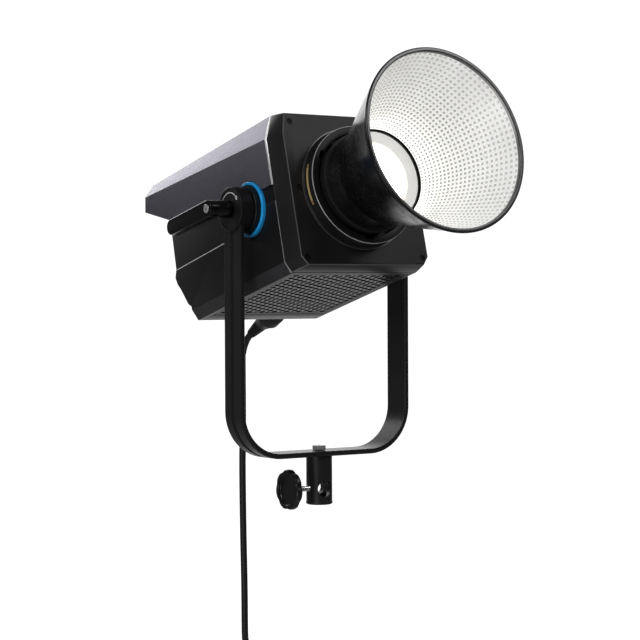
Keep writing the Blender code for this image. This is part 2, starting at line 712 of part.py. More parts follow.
def make_reflector(frame):
    steps = 4
    inner = bowl_line(0, steps)
    outer = bowl_line(BOWL_WALL, steps)[::-1]
    rim = [
        (MOUTH_RADIUS + 0.6, MOUTH_FRONT + 1.7),
        (MOUTH_RADIUS + 2.4, MOUTH_FRONT + 0.8),
        (MOUTH_RADIUS + 2.2, MOUTH_FRONT - 1.4),
    ]
    neck_out = [(THROAT_RADIUS + BOWL_WALL, THROAT_FRONT - 2), (THROAT_RADIUS + BOWL_WALL, NECK_BACK)]
    neck_in = [(THROAT_RADIUS, NECK_BACK)]
    profile = inner + rim + outer[1:] + neck_out + neck_in
    turned("reflector_bowl", profile, "bowl_silver", 36, ring=True, frame=frame, turn=FORWARD)
    base = [
        (DOME_RADIUS + 0.8, BASE_BACK),
        (BASE_RADIUS, BASE_BACK),
        (BASE_RADIUS, NECK_BACK - GAP - 3),
        (BASE_RADIUS + 1.2, NECK_BACK - GAP),
        (THROAT_RADIUS - GAP, NECK_BACK - GAP),
        (THROAT_RADIUS - GAP, 119.0),
        (DOME_RADIUS + 0.8, 113.6),
    ]
    ring = turned("reflector_base", base, "black_plastic", 32, ring=True, frame=frame, turn=FORWARD)
    for number, angle in enumerate(NOTCH_ANGLES):
        turn = (0, -math.radians(angle - LUG_LEAD), 0)
        low, high = (BASE_RADIUS - 2.4, -BASE_BACK - 4.2, -LUG_HALF), (LUG_RADIUS, -BASE_BACK - 1.2, LUG_HALF)
        join(ring, block(f"lug_{number}", low, high, frame=frame, turn=turn))


# Light engine


def make_light_engine(frame):
    wall, tip = 2.0, 113.4
    dome = [
        (46.0, 66.0),
        (46.0, 68.0),
        (DOME_RADIUS, 68.0),
        (DOME_RADIUS, 109.0),
        (DOME_RADIUS - 4, 112.0),
        (0, tip),
    ]
    inside = [
        (DOME_RADIUS - wall, 60.0),
        (DOME_RADIUS - wall, 108.0),
        (DOME_RADIUS - wall - 3, 110.0),
        (0, tip - wall),
    ]
    lens = turned("lens_dome", dome, "frosted_glass", frame=frame, turn=FORWARD)
    cut(lens, turned("dome_hollow", inside, frame=frame, turn=FORWARD))
    holder = [
        (DOME_RADIUS + 0.5, 68.3),
        (49.0, 68.3),
        (49.0, 74.0),
        (DOME_RADIUS + 0.5, 74.0),
    ]
    turned("dome_holder", holder, "aluminium", ring=True, frame=frame, turn=FORWARD)
    block("cold_plate", (-56, -62.0, -50), (56, -54.0, 50), "aluminium", frame=frame)
    board = block("led_board", (-28, -64.3, -28), (28, -62.3, 28), "led_yellow", frame=frame)
    join(board, rod("led_die", 19.0, 63.5, 65.5, turn=FORWARD, frame=frame, sides=24))
    make_fin_stack(frame)
    for number, x in enumerate((-32.0, 0.0, 32.0), start=1):
        knots = [(x, -49.4, -30), (x, -49.4, 22), (x, -46, 36), (x, -36, 43.6), (x, -20, 45), (x, 54, 45)]
        tube(f"heat_pipe_{number}", smooth_path(knots, 13), 8, "copper", frame)


def make_fin_stack(frame):
    """An extruded heat sink: a flat base above a comb of fins."""
    fins, pitch, thickness = 13, 9.6, 1.6
    top, base, tip = 40.3, 35.0, -6.0
    half = pitch * (fins - 1) / 2 + thickness / 2
    outline = [(-half, top)]
    for fin in range(fins):
        left = -half + fin * pitch
        outline += [(left, base), (left, tip), (left + thickness, tip), (left + thickness, base)]
    outline = [outline[0], *outline[2:-1], (half, top)]
    prism("fin_stack", outline, "y", -28.0, 56.0, "aluminium", frame=frame)


def make_fans(frame):
    size, depth, opening = 76.0, 20.0, 35.5
    top = -12.0
    for name, y in (("front", 0.0), ("rear", 80.0)):
        half = size / 2
        body = block(
            f"fan_frame_{name}",
            (-half, y - half, top - depth),
            (half, y + half, top),
            "black_plastic",
            frame=frame,
        )
        place = (0, y, 0)
        hole = rod(f"{name}_fan_opening", opening, top - depth - 5, top + 5, frame=frame, place=place, sides=24)
        cut(body, hole)
        bars = []
        for number in range(2):
            turn = (0, 0, math.pi / 4 + number * math.pi / 2)
            low, high = (-opening - 2, -2, top - depth), (opening + 2, 2, top - depth + 3)
            bars.append(block(f"{name}_fan_bar_{number}", low, high, frame=frame, place=place, turn=turn))
        bars.append(rod(f"{name}_fan_seat", 14.0, top - depth, top - depth + 3, frame=frame, place=place))
        join(body, *bars)
        make_rotor(name, y, top - depth + 3.6, opening - 1.2, frame)


def make_rotor(name, y, base, reach, frame):
    blades, hub = 7, 14.0
    outline = []
    for blade in range(blades):
        start = 360 / blades * blade
        outline += arc((0, 0), hub, start, start + 16, 2)
        outline += arc((0, 0), (hub + reach) / 2, start + 28, start + 30, 1)[:1]
        outline += arc((0, 0), reach, start + 36, start + 66, 4)
        outline += arc((0, 0), (hub + reach) / 2, start + 56, start + 57, 1)[:1]
    spin = axis_empty(f"fan_axis_{name}", (0, y, 0), frame=frame)
    prism(f"fan_rotor_{name}", outline, "z", base, base + 12.0, "black_plastic", frame=spin)


def board_outline(start, end, board, heights):
    """A circuit board's side view: a thin board with blocks of the given heights on it."""
    step = (end - start) / (2 * len(heights) + 1)
    outline = [(start, board), (start, board + 1.6)]
    for number, height in enumerate(heights):
        low = start + step * (2 * number + 1)
        outline += [(low, board + 1.6), (low, board + height), (low + step, board + height), (low + step, board + 1.6)]
    return [*outline, (end, board + 1.6), (end, board)]


def make_electronics(frame):
    power = board_outline(62.0, 150.0, 2.0, (24.0, 30.0, 18.0, 22.0))
    prism("power_supply", power, "x", -72, 30, "board_green", frame=frame)
    driver = board_outline(64.0, 148.0, 44.0, (12.0, 8.0, 14.0))
    prism("driver_board", driver, "x", -60, 60, "board_green", frame=frame)
    block("control_board", (-70, 156.4, -8), (70, 158.0, 34), "board_green", frame=frame)


# Controls and connectors at the back


def make_rear_panel(frame):
    wall = 2.5
    outline = [
        (REAR_PANEL, SHELL_TOP + 3),
        (REAR_PANEL, -19.0),
        CONNECTOR_TOP,
        CONNECTOR_LOW,
        (CONNECTOR_LOW[0] - wall, CONNECTOR_LOW[1]),
        (CONNECTOR_TOP[0] - wall - 0.4, CONNECTOR_TOP[1] + wall),
        (REAR_PANEL - wall, -16.5),
        (REAR_PANEL - wall, SHELL_TOP + 3),
    ]
    panel = prism("rear_panel", outline, "x", -SIDE, SIDE, "black_plastic", frame=frame)
    fit = shell_section(SHELL_WALL + GAP, 70)
    boolean(panel, "INTERSECT", [prism("panel_fit", fit, "y", 100, 200, frame=frame)])
    back = {"turn": BACKWARD, "frame": frame}
    cuts = []
    for name, x in (("left", -DIAL_SIDE), ("right", DIAL_SIDE)):
        place = (x, 0, DIAL_HEIGHT)
        cuts.append(rod(f"{name}_dial_hole", 3.6, 150, 180, place=place, **back))
        dial = axis_empty(f"{name}_dial_axis", place, BACKWARD, frame)
        outline = []
        for step in range(2 * DIAL_RIDGES):
            radius = DIAL_RADIUS if step % 2 else DIAL_RADIUS - 0.7
            angle = math.pi * step / DIAL_RIDGES
            outline.append((radius * math.cos(angle), radius * math.sin(angle)))
        low = REAR_PANEL + GAP
        cap = prism(f"{name}_dial", outline, "z", low, low + DIAL_LENGTH, "black_plastic", frame=dial)
        join(cap, rod(f"{name}_dial_stem", 3.0, 160.0, low + 2, frame=dial))
    for number in range(4):
        place = ((number - 1.5) * BUTTON_PITCH, 0, BUTTON_HEIGHT)
        cuts.append(rod(f"button_hole_{number + 1}", 4.0, 150, 180, place=place, **back))
        cap = [(3.6, 160.5), (3.6, 167.6), (3.0, 168.2)]
        turned(f"button_{number + 1}", cap, "rubber", 12, place=place, turn=BACKWARD, frame=frame)
    half = DISPLAY_HALF
    low, high = (-half, REAR_PANEL - 1.5, DISPLAY_LOW), (half, REAR_PANEL + 5, DISPLAY_TOP)
    cuts.append(block("display_recess", low, high, frame=frame))
    low = (-half + GAP, REAR_PANEL - 1.2, DISPLAY_LOW + GAP)
    high = (half - GAP, REAR_PANEL - 0.1, DISPLAY_TOP - GAP)
    block("display_window", low, high, "display_black", frame=frame)
    cuts += make_connectors(frame)
    cut(panel, *cuts)


def connector_point(depth, drop):
    """A point behind the sloping connector panel: its depth along the panel's normal, its drop down the slope."""
    run, fall = CONNECTOR_LOW[0] - CONNECTOR_TOP[0], CONNECTOR_LOW[1] - CONNECTOR_TOP[1]
    length = math.hypot(run, fall)
    along = (run / length, fall / length)
    normal = (-along[1], along[0])
    return (
        CONNECTOR_TOP[0] + along[0] * drop + normal[0] * depth,
        CONNECTOR_TOP[1] + along[1] * drop + normal[1] * depth,
    )


def make_connectors(frame):
    """The inlet, data socket and rocker in the sloping panel, with the mains connector on the inlet."""
    slope = math.atan2(CONNECTOR_TOP[0] - CONNECTOR_LOW[0], CONNECTOR_TOP[1] - CONNECTOR_LOW[1])
    turn = (-math.pi / 2 - slope, 0, 0)
    middle = connector_point(0, CONNECTOR_DROP)
    inlet = axis_empty("inlet_axis", (CONNECTOR_SIDE, *middle), turn, frame)
    hole = rod("inlet_hole", 11.8, -20, 20, frame=inlet, sides=20)
    socket = [(11.2, -18.0), (11.2, GAP), (15.5, GAP), (15.5, 2.3), (9.0, 2.3), (9.0, -14.0)]
    turned("inlet_socket", socket, "black_plastic", 20, frame=inlet)
    plug = [
        (8.6, -10.0),
        (8.6, 2.6),
        (CONNECTOR_RADIUS, 2.6),
        (CONNECTOR_RADIUS, 30.0),
        (CONNECTOR_RADIUS + 1.0, 31.5),
        (CONNECTOR_RADIUS + 1.0, 46.0),
        (CONNECTOR_RADIUS - 2.0, 52.0),
        (8.2, 62.0),
        (6.2, 80.0),
        (5.4, CONNECTOR_LENGTH),
    ]
    turned("cord_connector", plug, "gloss_black", 20, frame=inlet)
    data = axis_empty("data_axis", (-CONNECTOR_SIDE, *middle), turn, frame)
    data_hole = rod("data_hole", 9.8, -20, 20, frame=data, sides=16)
    shell = [(9.2, -14.0), (9.2, GAP), (12.5, GAP), (12.5, 2.0), (7.0, 2.0), (7.0, -9.0)]
    turned("data_socket", shell, "steel", 16, frame=data)
    rocker = axis_empty("rocker_axis", (0.0, *middle), turn, frame)
    rocker_hole = block("rocker_hole", (-6.6, -9.6, -15), (6.6, 9.6, 15), frame=rocker)
    outline = [(-8.0, -2.6), (8.0, -2.6), (8.4, 1.2), (0, 2.4), (-8.4, 4.4)]
    prism("power_rocker", outline, "x", -6.0, 6.0, "black_plastic", frame=rocker)
    return [hole, data_hole, rocker_hole]


# Mains lead


def cord_start(frame):
    """Where the lead leaves the connector, in the world frame, with its direction there."""
    bpy.context.view_layer.update()
    run = []
    for depth in (CONNECTOR_LENGTH + GAP, CONNECTOR_LENGTH + 7):
        point = Vector((CONNECTOR_SIDE, *connector_point(depth, CONNECTOR_DROP)))
        run.append(tuple(frame.matrix_world @ (point * MM) / MM))
    return run


def make_cord(frame):
    start, after = cord_start(frame)
    x, y, z = COIL_CENTRE
    hanging = [
        (x, 217.0, 148.0),
        (x, 220.0, 112.0),
        (x, 222.0, 75.0),
        (x, 222.5, 20.0),
        (x, 221.5, -50.0),
        (x, 219.5, -120.0),
        (x, 218.8, z + 97.0),
        (x + 1.5, 218.8, z + 86.0),
        (x + 6.3, 218.8, z + 75.0),
    ]
    tube("cord_tube", [start, *smooth_path([after, *hanging], 17)], CORD_DIAMETER, "rubber")
    bundle = arc((COIL_MEAN_RADIUS, 0), COIL_BUNDLE_RADIUS, 0, 330, 11)
    turned("cord_coil", bundle, "rubber", 24, ring=True, place=COIL_CENTRE, turn=FORWARD)
    inner = COIL_BUNDLE_RADIUS + 3 * GAP
    outer = inner + TIE_THICKNESS
    tie = [(inner, -TIE_HALF_WIDTH), (outer, -TIE_HALF_WIDTH), (outer, TIE_HALF_WIDTH), (inner, TIE_HALF_WIDTH)]
    along = math.radians(TIE_ANGLE)
    place = (x + COIL_MEAN_RADIUS * math.cos(along), y, z + COIL_MEAN_RADIUS * math.sin(along))
    turned("cord_tie", tie, "black_plastic", 24, ring=True, place=place, turn=(0, -along, 0))
    make_plug(x + PLUG_OFFSET, y - COIL_BUNDLE_RADIUS - GAP - PLUG_DEPTH / 2, z - PLUG_DROP)


def make_plug(x, y, top):
    """A two-pin plug, pins down, with its tapered strain relief above it."""
    half, depth, low = PLUG_WIDTH / 2, PLUG_DEPTH / 2, -PLUG_LENGTH
    outline = arc((0, 0), depth, 90, 270, 8)
    outline = [(px - half + depth, py) for px, py in outline] + [(half - depth - px, -py) for px, py in outline]
    place = (x, y, top)
    plug = prism("mains_plug", outline, "z", low, 0, "rubber", place=place)
    relief = [(CORD_DIAMETER / 2 + 3, -1), (CORD_DIAMETER / 2 + 1, RELIEF_LENGTH)]
    others = [turned("plug_relief", relief, sides=SMALL_ROUND, place=place)]
    for side in (-1, 1):
        pin_place = (x + side * PIN_SPACING / 2, y, top + low)
        others.append(rod(f"plug_pin_{side}", PIN_RADIUS, -PIN_LENGTH, 2.0, place=pin_place, sides=12))
    join(plug, *others)


clear_scene()
MATERIALS = {name: paint(name, *values) for name, values in PAINTS.items()}
make_yoke()
make_receiver()
make_clamp()
make_lever()
HEAD = axis_empty("tilt_axis", (0, 0, TILT_HEIGHT), (math.radians(-TILT_ANGLE), 0, 0))
LIGHT = axis_empty("light_axis", (0, 0, LIGHT_RISE), frame=HEAD)
make_bezel(HEAD, LIGHT)
make_lower_shell(HEAD)
make_top_cover(HEAD)
make_tilt_parts(HEAD)
make_mount_ring(LIGHT)
make_reflector(LIGHT)
make_light_engine(LIGHT)
make_fans(HEAD)
make_electronics(HEAD)
make_rear_panel(HEAD)
make_cord(HEAD)
bpy.context.view_layer.update()
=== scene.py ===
"""Looks of an open-face LED spotlight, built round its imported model.

Shapes are made in millimetres in the head's own frame, or in the world frame for the yoke and the clamp.
Head frame: origin on the tilt axis, -Y the light's direction, +Z the head's top.
"""

import json
import math

import bmesh
import bpy
from mathutils import Matrix, Vector


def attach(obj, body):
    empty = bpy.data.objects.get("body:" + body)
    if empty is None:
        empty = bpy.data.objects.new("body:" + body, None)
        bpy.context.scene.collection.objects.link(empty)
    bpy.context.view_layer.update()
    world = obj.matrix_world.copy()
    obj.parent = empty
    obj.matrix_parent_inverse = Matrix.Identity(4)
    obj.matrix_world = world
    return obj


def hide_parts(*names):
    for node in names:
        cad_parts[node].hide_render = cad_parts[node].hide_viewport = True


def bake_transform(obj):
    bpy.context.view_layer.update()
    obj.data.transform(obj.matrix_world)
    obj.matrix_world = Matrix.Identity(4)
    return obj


MM = 0.001
GAP = 0.3
ROUND = 96  # sides of a large round piece
SMALL = 40

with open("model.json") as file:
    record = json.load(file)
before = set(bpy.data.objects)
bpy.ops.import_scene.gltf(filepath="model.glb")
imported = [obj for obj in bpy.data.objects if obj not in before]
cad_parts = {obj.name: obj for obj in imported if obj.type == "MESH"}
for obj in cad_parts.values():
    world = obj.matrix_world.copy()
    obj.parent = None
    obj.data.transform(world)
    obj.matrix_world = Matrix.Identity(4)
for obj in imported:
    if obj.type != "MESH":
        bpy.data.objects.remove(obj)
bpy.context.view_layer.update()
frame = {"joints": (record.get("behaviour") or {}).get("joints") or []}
JOINTS = {joint["name"]: joint for joint in frame["joints"]}
PIVOT = Vector(JOINTS["head_tilt"]["pos_m"])
TILT_HEIGHT = PIVOT.z / MM
FORWARD = Vector(JOINTS["reflector_turn"]["axis"]).normalized()
SIDEWAYS = Vector((1, 0, 0))
HEAD_AXES = Matrix((SIDEWAYS, -FORWARD, SIDEWAYS.cross(-FORWARD))).transposed()
HEAD = Matrix.Translation(PIVOT) @ HEAD_AXES.to_4x4()
WORLD = Matrix.Identity(4)
LIGHT_RISE = 1.6  # the optical axis above the tilt axis
LIGHT = HEAD @ Matrix.Translation((0, 0, LIGHT_RISE * MM))
FORWARD_TURN = Matrix.Rotation(math.pi / 2, 4, "X")  # a turned piece's own +Z toward -Y
BACKWARD_TURN = Matrix.Rotation(-math.pi / 2, 4, "X")
LEFT_TURN = Matrix.Rotation(-math.pi / 2, 4, "Y")
RIGHT_TURN = Matrix.Rotation(math.pi / 2, 4, "Y")


def at(x, y, z):
    return Matrix.Translation((x * MM, y * MM, z * MM))


# Mesh building


def add_object(name, data):
    obj = bpy.data.objects.new(name, data)
    bpy.context.scene.collection.objects.link(obj)
    return obj


def object_of(builder, name):
    mesh = bpy.data.meshes.new(name)
    builder.to_mesh(mesh)
    builder.free()
    return add_object(name, mesh)


def new_object(name, points, faces, matrix=WORLD):
    """A mesh object from points in millimetres, with its faces pointing out and its place in its vertices."""
    mesh = bpy.data.meshes.new(name)
    mesh.from_pydata([[value * MM for value in point] for point in points], [], faces)
    mesh.transform(matrix)
    builder = bmesh.new()
    builder.from_mesh(mesh)
    bmesh.ops.recalc_face_normals(builder, faces=builder.faces)
    builder.to_mesh(mesh)
    builder.free()
    return add_object(name, mesh)


def loft(name, rings, matrix=WORLD, closed=False):
    """A solid through rings of equal length. Closed, the last ring joins the first."""
    count = len(rings[0])
    points = [point for ring in rings for point in ring]
    faces = []
    if not closed:
        faces = [list(range(count)), list(range(len(points) - count, len(points)))]
    for ring in range(len(rings) if closed else len(rings) - 1):
        start, end = ring * count, (ring + 1) % len(rings) * count
        for side in range(count):
            following = (side + 1) % count
            faces.append([start + side, start + following, end + following, end + side])
    return new_object(name, points, faces, matrix)


def on_axis(axis, along, across):
    point = list(across)
    point.insert("xyz".index(axis), along)
    return tuple(point)


def prism(name, outline, axis, low, high, matrix=WORLD):
    return loft(name, [[on_axis(axis, along, point) for point in outline] for along in (low, high)], matrix)


def block(name, low, high, matrix=WORLD):
    corners = [(low[0], low[1]), (high[0], low[1]), (high[0], high[1]), (low[0], high[1])]
    return prism(name, corners, "z", low[2], high[2], matrix)


def polar_ring(radii, height):
    """Points evenly spaced round an axis, one for each radius."""
    points = []
    for step, radius in enumerate(radii):
        angle = 2 * math.pi * step / len(radii)
        points.append((radius * math.cos(angle), radius * math.sin(angle), height))
    return points


def turned(name, profile, matrix=WORLD, sides=ROUND, ring=False):
    """A solid turned about its own Z from (radius, height) points. A ring's profile closes on itself."""
    points, rows = [], []
    for radius, height in profile:
        rows.append(len(points))
        points += polar_ring([radius] * (1 if radius == 0 else sides), height)
    faces = []
    for row in range(len(profile) if ring else len(profile) - 1):
        following = (row + 1) % len(profile)
        a, b = rows[row], rows[following]
        for step in range(sides):
            after = (step + 1) % sides
            if profile[row][0] == 0:
                faces.append([a, b + step, b + after])
            elif profile[following][0] == 0:
                faces.append([a + step, b, a + after])
            else:
                faces.append([a + step, a + after, b + after, b + step])
    if not ring:
        for row in (0, -1):
            if profile[row][0] > 0:
                faces.append(list(range(rows[row], rows[row] + sides)))
    return new_object(name, points, faces, matrix)


def rod(name, radius, low, high, matrix=WORLD, sides=SMALL):
    return turned(name, [(radius, low), (radius, high)], matrix, sides)


def arc(centre, radius, start, end, steps):
    angles = [math.radians(start + (end - start) * step / steps) for step in range(steps + 1)]
    return [(centre[0] + radius * math.cos(a), centre[1] + radius * math.sin(a)) for a in angles]


def settle(obj):
    """Applies the object's modifiers to its mesh."""
    bpy.context.view_layer.update()
    evaluated = obj.evaluated_get(bpy.context.evaluated_depsgraph_get())
    mesh = bpy.data.meshes.new_from_object(evaluated)
    obj.modifiers.clear()
    obj.data = mesh
    return obj


def combine(obj, operation, others):
    for other in others:
        modifier = obj.modifiers.new(other.name, "BOOLEAN")
        modifier.operation = operation
        modifier.solver = "EXACT"
        modifier.object = other
    settle(obj)
    for other in others:
        bpy.data.objects.remove(other)
    return obj


def cut(obj, *cutters):
    return combine(obj, "DIFFERENCE", cutters)


def join(obj, *others):
    return combine(obj, "UNION", others)


def soften(obj, width, segments=2, angle=28, paint=None, edge=None):
    """Rounds the edges sharper than an angle. Two materials paint the shape and its rounded edges, the edges'
    one lighter: a painted highlight.
    """
    modifier = obj.modifiers.new("round", "BEVEL")
    if paint:
        obj.data.materials.append(paint)
        obj.data.materials.append(edge)
        modifier.material = 1
    modifier.width = width * MM
    modifier.segments = segments
    modifier.limit_method = "ANGLE"
    modifier.angle_limit = math.radians(angle)
    modifier.use_clamp_overlap = True
    modifier.miter_outer = "MITER_ARC"
    return settle(obj)


def merge(name, objects):
    """One object out of several separate ones."""
    builder = bmesh.new()
    for obj in objects:
        builder.from_mesh(obj.data)
        bpy.data.objects.remove(obj)
    return object_of(builder, name)


def piece(obj, body, slot, material, *nodes, sharp=34):
    """Paints a finished shape, unless it is painted, and hangs it on its body in place of CAD nodes."""
    if material:
        obj.data.materials.clear()
        obj.data.materials.append(material)
    obj.data.shade_smooth()
    obj.data.set_sharp_from_angle(angle=math.radians(sharp))
    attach(obj, body)
    if nodes:
        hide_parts(*nodes)
    return obj


# Materials


def fill(tree, node, values):
    """Sets a node's inputs. An input that is given another node's output is linked to it."""
    for name, value in values.items():
        if isinstance(value, bpy.types.NodeSocket):
            tree.links.new(value, node.inputs[name])
        else:
            node.inputs[name].default_value = value


def add_node(tree, kind, values, **settings):
    node = tree.nodes.new("ShaderNode" + kind)
    for name, value in settings.items():
        setattr(node, name, value)
    fill(tree, node, values)
    return node


def shader_of(name, colour, roughness, metallic=0.0):
    material = bpy.data.materials.new(name)
    material.use_nodes = True
    shader = material.node_tree.nodes["Principled BSDF"]
    values = {"Base Color": (*colour, 1), "Roughness": roughness, "Metallic": metallic}
    fill(material.node_tree, shader, values)
    return material, material.node_tree, shader


def noise(tree, scale, detail=3.0, coords=None):
    values = {"Scale": scale, "Detail": detail, "Vector": coords or object_coords(tree)}
    return add_node(tree, "TexNoise", values).outputs["Fac"]


def object_coords(tree):
    node = tree.nodes.get("object place") or add_node(tree, "TexCoord", {}, name="object place")
    return node.outputs["Object"]


def spread(tree, source, low, high, start=0.3, end=0.7):
    """Maps a 0 to 1 texture to a range."""
    values = {"Value": source, "From Min": start, "From Max": end, "To Min": low, "To Max": high}
    return add_node(tree, "MapRange", values).outputs["Result"]


def blend_colours(tree, source, dark, light):
    values = {"Factor": source, "A": (*dark, 1), "B": (*light, 1)}
    return add_node(tree, "Mix", values, data_type="RGBA").outputs["Result"]


def scaled(colour, factor, extra=0.0):
    return [min(1.0, value * factor + extra) for value in colour]


def bump(tree, shader, source, strength, distance):
    node = add_node(tree, "Bump", {"Strength": strength, "Distance": distance, "Height": source})
    tree.links.new(node.outputs["Normal"], shader.inputs["Normal"])


def coat(name, colour, roughness, metallic=0.0, grain=1400.0, depth=0.25, vary=0.15, specular=0.4, lit=0.0):
    """A painted or moulded surface: fine grain in its relief, slow variation in its colour and gloss.

    A surface inside the reflector also gets a painted glow (lit): emission standing in for the lamp's light
    falling on it."""
    material, tree, shader = shader_of(name, colour, roughness, metallic)
    slow = spread(tree, noise(tree, 22.0, 4.0), 0, 1)
    fine = noise(tree, grain, 2.0)
    fill(tree, shader, {
        "Specular IOR Level": specular,
        "Emission Color": (1, 1, 0.99, 1),
        # painted glow: emission on a surface that is no lamp
        "Emission Strength": lit,
        "Base Color": blend_colours(tree, slow, scaled(colour, 1 - vary), scaled(colour, 1 + vary, 0.001)),
        "Roughness": spread(tree, fine, roughness - 0.06, roughness + 0.06),
    })
    bump(tree, shader, fine, depth, 0.00006)
    return material


def brushed(name, colour, roughness):
    """Bare metal with fine drawn lines."""
    material, tree, shader = shader_of(name, colour, roughness, 1.0)
    place = add_node(tree, "Mapping", {"Scale": (1, 1, 60), "Vector": object_coords(tree)})
    lines = noise(tree, 120.0, 4.0, place.outputs["Vector"])
    fill(tree, shader, {
        "Roughness": spread(tree, lines, roughness - 0.08, roughness + 0.12),
        "Base Color": blend_colours(tree, spread(tree, lines, 0, 1), scaled(colour, 0.8), colour),
    })
    bump(tree, shader, lines, 0.2, 0.00004)
    return material


def flake(name, colour, roughness):
    """Metallic paint: small bright flakes under a smooth satin surface."""
    material, tree, shader = shader_of(name, colour, roughness, 0.82)
    cells = add_node(tree, "TexVoronoi", {"Scale": 1600.0, "Vector": object_coords(tree)})
    spark = add_node(tree, "SeparateColor", {"Color": cells.outputs["Color"]}).outputs
    fill(tree, shader, {
        "Base Color": blend_colours(tree, spark["Red"], scaled(colour, 0.8), scaled(colour, 1.35)),
        "Roughness": spread(tree, spark["Green"], roughness - 0.07, roughness + 0.07, 0, 1),
    })
    bump(tree, shader, noise(tree, 900.0, 2.0), 0.12, 0.00005)
    return material


def vector_maths(tree, operation, source, value=(0, 0, 0)):
    return add_node(tree, "VectorMath", {0: source, 1: value}, operation=operation).outputs


WARM_EDGE = (1.0, 0.8, 0.5)


def glow(name, colour, strengths, radii):
    """A lit diffuser, bright in the middle and dimmer past an edge round the light's axis."""
    material, tree, shader = shader_of(name, colour, 0.35)
    soft = spread(tree, noise(tree, 40.0, 2.0), 0, 1)
    inward = vector_maths(tree, "SUBTRACT", object_coords(tree), LIGHT.translation)["Vector"]
    across = vector_maths(tree, "CROSS_PRODUCT", inward, FORWARD)["Vector"]
    radius = vector_maths(tree, "LENGTH", across)["Value"]
    fill(tree, shader, {
        "Base Color": blend_colours(tree, soft, scaled(colour, 0.97), colour),
        "Emission Color": blend_colours(tree, spread(tree, radius, 0, 1, *radii), colour, WARM_EDGE),
        "Emission Strength": spread(tree, radius, *strengths, *radii),
    })
    return material


SATIN_BLACK = coat("satin_black", (0.008, 0.008, 0.0086), 0.42, grain=1500, depth=0.3, specular=0.25)
SHELL_BLACK = coat("shell_black", (0.008, 0.008, 0.0086), 0.46, grain=1800, depth=0.25, specular=0.22)
PLATE_GREY = coat("plate_grey", (0.013, 0.0123, 0.0135), 0.42, grain=1700, depth=0.25, specular=0.3)
HOOD = flake("hood_metallic", (0.165, 0.158, 0.19), 0.40)
MOULDED = coat("moulded_black", (0.011, 0.011, 0.012), 0.5, grain=900, depth=0.5)
GLOSS = coat("gloss_black", (0.002, 0.002, 0.0023), 0.16, grain=300, depth=0.03, vary=0.1, specular=0.28)
BOWL_OUTSIDE = coat("bowl_gloss_black", (0.006, 0.0058, 0.0066), 0.24, grain=120, depth=0.0015, vary=0.1)
BLUE = coat("blue_anodised", (0.02, 0.42, 0.95), 0.3, 0.1, grain=1200, depth=0.12, vary=0.08)
STEEL = brushed("bright_steel", (0.62, 0.62, 0.62), 0.24)
ALUMINIUM = brushed("milled_aluminium", (0.72, 0.72, 0.73), 0.3)
COPPER = brushed("copper", (0.7, 0.33, 0.19), 0.3)
BRASS = brushed("turned_brass", (0.7, 0.53, 0.24), 0.3)
# The lining's ridges and facets carry a painted glow (lit) for the lamp's light inside the bowl; the facets'
# darker greys are painted reflection and painted shade.
RIDGE = coat("facet_ridge", (0.95, 0.95, 0.945), 0.3, 0.3, grain=900, depth=0.05, vary=0.03, lit=0.11)
FACET_SHADE_TONES = 0.24, 0.3, 0.38, 0.46, 0.54, 0.6  # painted shade: from the throat, where the light is strongest and the grey darkest, to the mouth
SHADED_FACETS = [coat(f"facet_{number}", (tone, tone, tone * 0.985), 0.3, 0.4, grain=900, depth=0.05, vary=0.08,
               lit=tone * 0.15) for number, tone in enumerate(FACET_SHADE_TONES)]
# The rim's rolled bead is painted grey metal: a painted reflection of dark surroundings on the black rim.
BEAD_REFLECTION_GREY = coat("bead_painted_reflection", (0.075, 0.075, 0.077), 0.24, 0.6, grain=1200, depth=0.05)
# A lighter grey for faces that look down: partly the bottom pan's grey, partly painted light bounced up from
# the floor.
PAN_AND_BOUNCE_GREY = coat("pan_and_bounce_grey", (0.032, 0.03, 0.033), 0.42, grain=1700, depth=0.25, specular=0.3)
PLATED = coat("plated_steel", (0.55, 0.55, 0.55), 0.26, 0.45, grain=1500, depth=0.08)
KNOB_BLACK = coat("knob_black", (0.008, 0.008, 0.0085), 0.3, grain=900, depth=0.25)
# Lighter colours for rounded edges and thin lines: painted highlights where edges catch the light.
EDGE_HIGHLIGHT = coat("grey_edge_highlight", (0.16, 0.16, 0.165), 0.36, 0.5, grain=1500, depth=0.1)
PALE_EDGE_HIGHLIGHT = coat("pale_edge_highlight", (0.5, 0.5, 0.505), 0.36, 0.3, grain=1500, depth=0.1)
SHELL_EDGE_HIGHLIGHT = coat("shell_edge_highlight", (0.03, 0.03, 0.031), 0.4, 0.2, grain=1500, depth=0.15)
HOOD_EDGE_HIGHLIGHT = flake("hood_edge_highlight", (0.3, 0.3, 0.33), 0.34)
GRILLE_BLACK = coat("grille_black", (0.075, 0.073, 0.077), 0.36, 0.3, grain=1500, depth=0.2)
YOKE_BLACK = coat("yoke_black", (0.0125, 0.0125, 0.0132), 0.36, grain=1700, depth=0.3)
